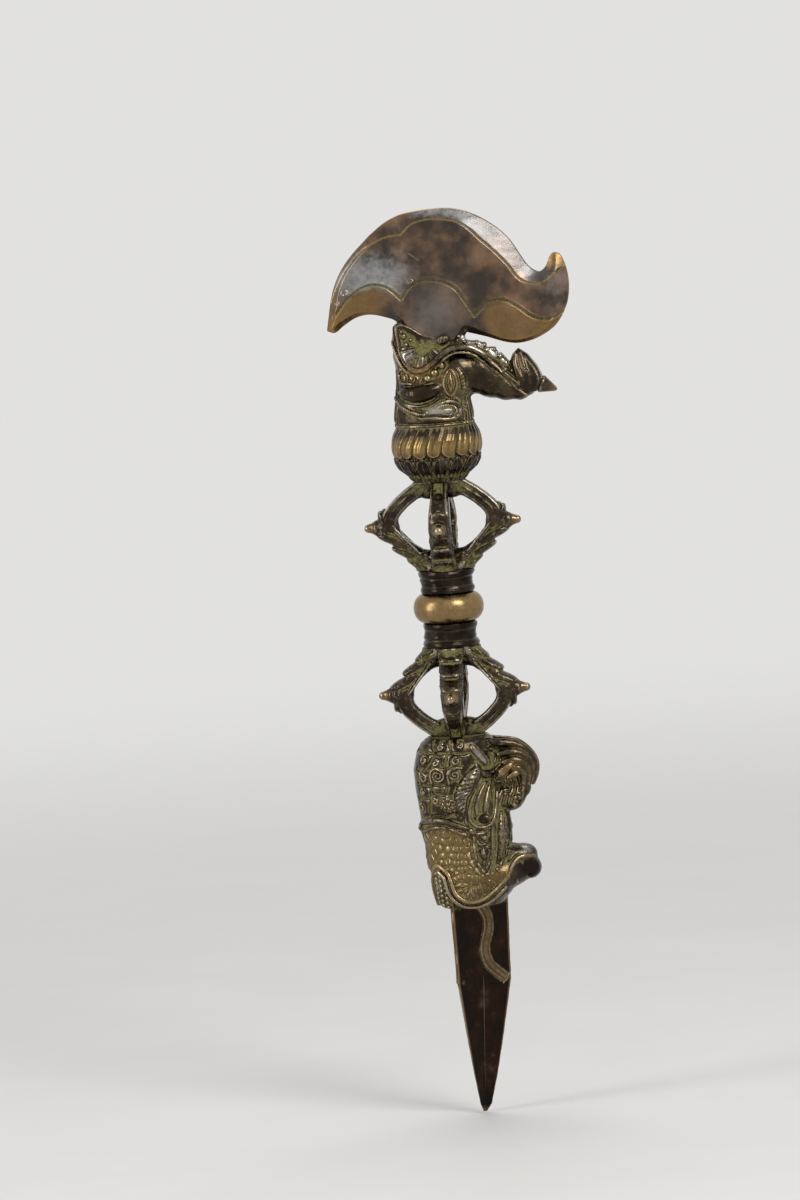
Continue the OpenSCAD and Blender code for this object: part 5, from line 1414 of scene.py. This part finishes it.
def blade():
    """Rings of six sides: an edge, a hollow, an edge and so on, with a ridge down each face."""
    rows, per_side, sides = 190, 26, 6
    share = np.concatenate([np.linspace(-0.03, 0.94, rows - 40), np.linspace(0.945, 1, 40)])
    rings = []
    for s in share:
        edge = edge_radius(s)
        corners = [r * direction(BLADE_TURN + 60 * k) for k, r in enumerate((edge, hollow_radius(edge)) * 3)]
        ring = [a + (b - a) * t for a, b in zip(corners, corners[1:] + corners[:1])
                for t in np.arange(per_side) / per_side]
        rings.append(np.column_stack([ring, np.full(len(ring), max(mouth_z - BLADE_L * s, blade_tip_z))]))
    rings = np.array(rings)
    place_on_side = np.abs((np.arange(sides * per_side) / per_side) % 2 - 1)
    near_edge = unit((place_on_side - 0.93) / 0.07)
    ridge = unit(1 - place_on_side / 0.04) * np.interp(share, [0.3, 0.4, 0.85, 0.95], [0, 1, 1, 0])[:, None]
    outward = rings[:, :, :2] / np.maximum(np.linalg.norm(rings[:, :, :2], axis=2), 1e-3)[:, :, None]
    rings[:, :, :2] += outward * (0.35 * ridge)[:, :, None]
    wobble = 0.05 * np.sin(rings[:, :, 2] * 0.9) * np.sin(rings[:, :, 2] * 0.37 + 1)
    rings[:, :, :2] += outward * wobble[:, :, None] * (near_edge * (share < 0.95)[:, None])[:, :, None]
    gap = np.full(rings.shape[:2], 99.0)
    for turn in (BLADE_TURN, BLADE_TURN + 120, BLADE_TURN + 240):
        for p in serpent_path(turn, 8):
            gap = np.minimum(gap, np.linalg.norm(rings - p[:3], axis=2))
    grime = 0.95 * unit((2.3 - gap) / 0.8) + 0.6 * unit((0.035 - share) / 0.03)[:, None]
    gold = 0.8 * unit(near_edge * 1.2) + 0.7 * unit((share - 0.97) / 0.03)[:, None]
    ring_piece("three_edged_blade", rings[::-1], "russet_bronze", blade_metal,
               hollow=(-0.34 * near_edge - 0.3 * ridge)[::-1], deep=0, gold=unit(gold)[::-1],
               grime=unit(grime)[::-1])


def serpents():
    """One serpent is modelled on the front face and turned for the other two."""
    path = serpent_path(BLADE_TURN)
    low_corner, high_corner = path[:, :3].min(0) - 2.4, path[:, :3].max(0) + 2.4
    high_corner[2] = mouth_z + 0.4
    clay = Clay(low_corner, high_corner, 0.17, mirror=False)
    way = np.gradient(path[:, :3], axis=0)
    way /= np.linalg.norm(way, axis=1)[:, None]
    middle = math.radians(BLADE_TURN - 60)
    out = np.array([math.cos(middle), math.sin(middle), 0])
    across = np.cross(way, out)
    across /= np.linalg.norm(across, axis=1)[:, None]
    core = path.copy()
    core[:, :3] += out * 0.25
    clay.tube(core, 0.2)
    for side in (-1, 1):
        rail = path.copy()
        rail[:, :3] += across * (1.35 * side) * path[:, 3:4] + out * 0.05
        rail[:, 3] = 0.42
        clay.tube(rail, 0.15)
        end = path[-1, :3]
        fork = [[*end, 0.7], [*(end + across[-1] * side * 0.9 + way[-1] * 0.9 + out * 0.1), 0.5],
                [*(end + across[-1] * side * 1.9 + way[-1] * 1.1), 0.3]]
        clay.tube(fork, 0.2)
    for k in range(3, len(core) - 2, 2):
        p = core[k]
        top, reach, ahead = p[:3] + out * p[3], across[k] * 0.9, way[k] * 0.3
        nick = [[*(top - reach + ahead), 0.15], [*(p[:3] + out * (p[3] + 0.12)), 0.16],
                [*(top + reach + ahead), 0.15]]
        clay.tube(nick, 0.05, carve=True)
    clay.cut(lambda x, y, z: z - mouth_z)
    surface = clay.surface()

    def grime(x, y, z):
        p = np.stack([x, y, z], 1)
        gap = np.min([np.linalg.norm(p - q, axis=1) for q in path[:, :3]], axis=0)
        return unit((gap - 0.9) / 0.4)
    for node, degrees in (("front_serpent", 0), ("right_serpent", 120), ("left_serpent", 240)):
        clay_piece(node, surface, "golden_brass", dark_metal, turned(degrees),
                   gold=lambda x, y, z: 0.35 + 0 * x, grime=grime)


blade()
serpents()

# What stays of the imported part: the rod inside
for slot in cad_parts["core_rod"].material_slots:
    slot.material = dark_metal

# The floor, the lamps and the camera
BACKDROP = (0.76, 0.755, 0.745)
# The floor's radius in metres, its corners, and its gap under the blade's point in millimetres
FLOOR_R, FLOOR_CORNERS, FLOOR_GAP = 4, 96, 0.4


def seen_rays(n):
    """1 for the rays that show the backdrop: those of the camera, of reflections and through clear things."""
    ray = n.node("ShaderNodeLightPath").outputs
    total = ray["Is Camera Ray"]
    for kind in ("Is Glossy Ray", "Is Transmission Ray"):
        total = n.node("ShaderNodeMath", {0: total, 1: ray[kind]}, operation="MAXIMUM").outputs[0]
    return total


def fading_floor():
    """A pale floor that keeps the object's shadow and fades into the backdrop before it ends."""
    n = Nodes(bpy.data.materials.new("pale_floor"))
    tone = n.mix(n.ramp(n.noise(60, 3), 0.3, 0.7), (0.74, 0.735, 0.725), BACKDROP)
    matt = n.feed(n.tree.nodes["Principled BSDF"], {"Base Color": tone, "Roughness": 0.6})
    far = n.node("ShaderNodeVectorMath", {0: n.place()}, operation="LENGTH").outputs["Value"]
    fade = n.times(n.ramp(far, 0.25, 1.3), seen_rays(n))
    glow = n.node("ShaderNodeEmission", {"Color": BACKDROP})
    both = n.node("ShaderNodeMixShader", {0: fade, 1: matt.outputs[0], 2: glow.outputs[0]})
    n.feed(n.tree.nodes["Material Output"], {"Surface": both.outputs[0]})
    return n.owner


def make_floor():
    z = (blade_tip_z - FLOOR_GAP) * MM
    mesh = bpy.data.meshes.new("floor")
    mesh.from_pydata([(FLOOR_R * math.cos(t), FLOOR_R * math.sin(t), z) for t in angles(FLOOR_CORNERS)], [],
                     [list(range(FLOOR_CORNERS))])
    mesh.materials.append(fading_floor())
    floor = bpy.data.objects.new("floor", mesh)
    bpy.context.scene.collection.objects.link(floor)


def lamp(name, at, aim, size, watts):
    data = bpy.data.lights.new(name, "AREA")
    data.shape = "RECTANGLE"
    data.size, data.size_y = size
    data.energy = watts
    obj = bpy.data.objects.new(name, data)
    obj.location = at
    obj.rotation_euler = (Vector(aim) - Vector(at)).to_track_quat("-Z", "Y").to_euler()
    bpy.context.scene.collection.objects.link(obj)


def light_world():
    n = Nodes(bpy.data.worlds.new("studio"))
    light = n.feed(n.tree.nodes["Background"], {"Color": (1, 0.99, 0.97), "Strength": 0.4})
    seen = n.node("ShaderNodeBackground", {"Color": BACKDROP, "Strength": 1})
    both = n.node("ShaderNodeMixShader", {0: seen_rays(n), 1: light.outputs[0], 2: seen.outputs[0]})
    n.feed(n.tree.nodes["World Output"], {"Surface": both.outputs[0]})
    bpy.context.scene.world = n.owner


# The photograph's frame: its height stands for 381.5 mm at the object, seen from slightly right and above
FRAME_H = 381.5
VIEW_AZ, VIEW_EL, VIEW_ROLL = 4, 6, 4.16
VIEW_AIM = (-15.3, 0, 3.1)
CAMERA_FAR = 2800
SENSOR = 36


def place_camera():
    data = bpy.data.cameras.new("camera")
    camera = bpy.data.objects.new("camera", data)
    bpy.context.scene.collection.objects.link(camera)
    bpy.context.scene.camera = camera
    data.sensor_fit = "VERTICAL"
    data.sensor_height = SENSOR
    data.lens = SENSOR * CAMERA_FAR / FRAME_H
    az, el = math.radians(VIEW_AZ), math.radians(VIEW_EL)
    back = Vector((math.sin(az) * math.cos(el), -math.cos(az) * math.cos(el), math.sin(el)))
    turn = back.to_track_quat("Z", "Y").to_matrix() @ Matrix.Rotation(math.radians(-VIEW_ROLL), 3, "Z")
    camera.matrix_world = Matrix.Translation((Vector(VIEW_AIM) + back * CAMERA_FAR) * MM) @ turn.to_4x4()


make_floor()
lamp("key", (0.6, -0.72, 0.68), (0, 0, 0), (0.42, 0.42), 6)
lamp("left", (-0.85, -0.5, 0.3), (0, 0, 0), (0.3, 0.8), 4)
lamp("top", (0.0, 0.35, 0.95), (0, 0, 0.05), (0.6, 0.4), 3)
light_world()
place_camera()
bpy.context.scene.view_settings.view_transform = "Standard"
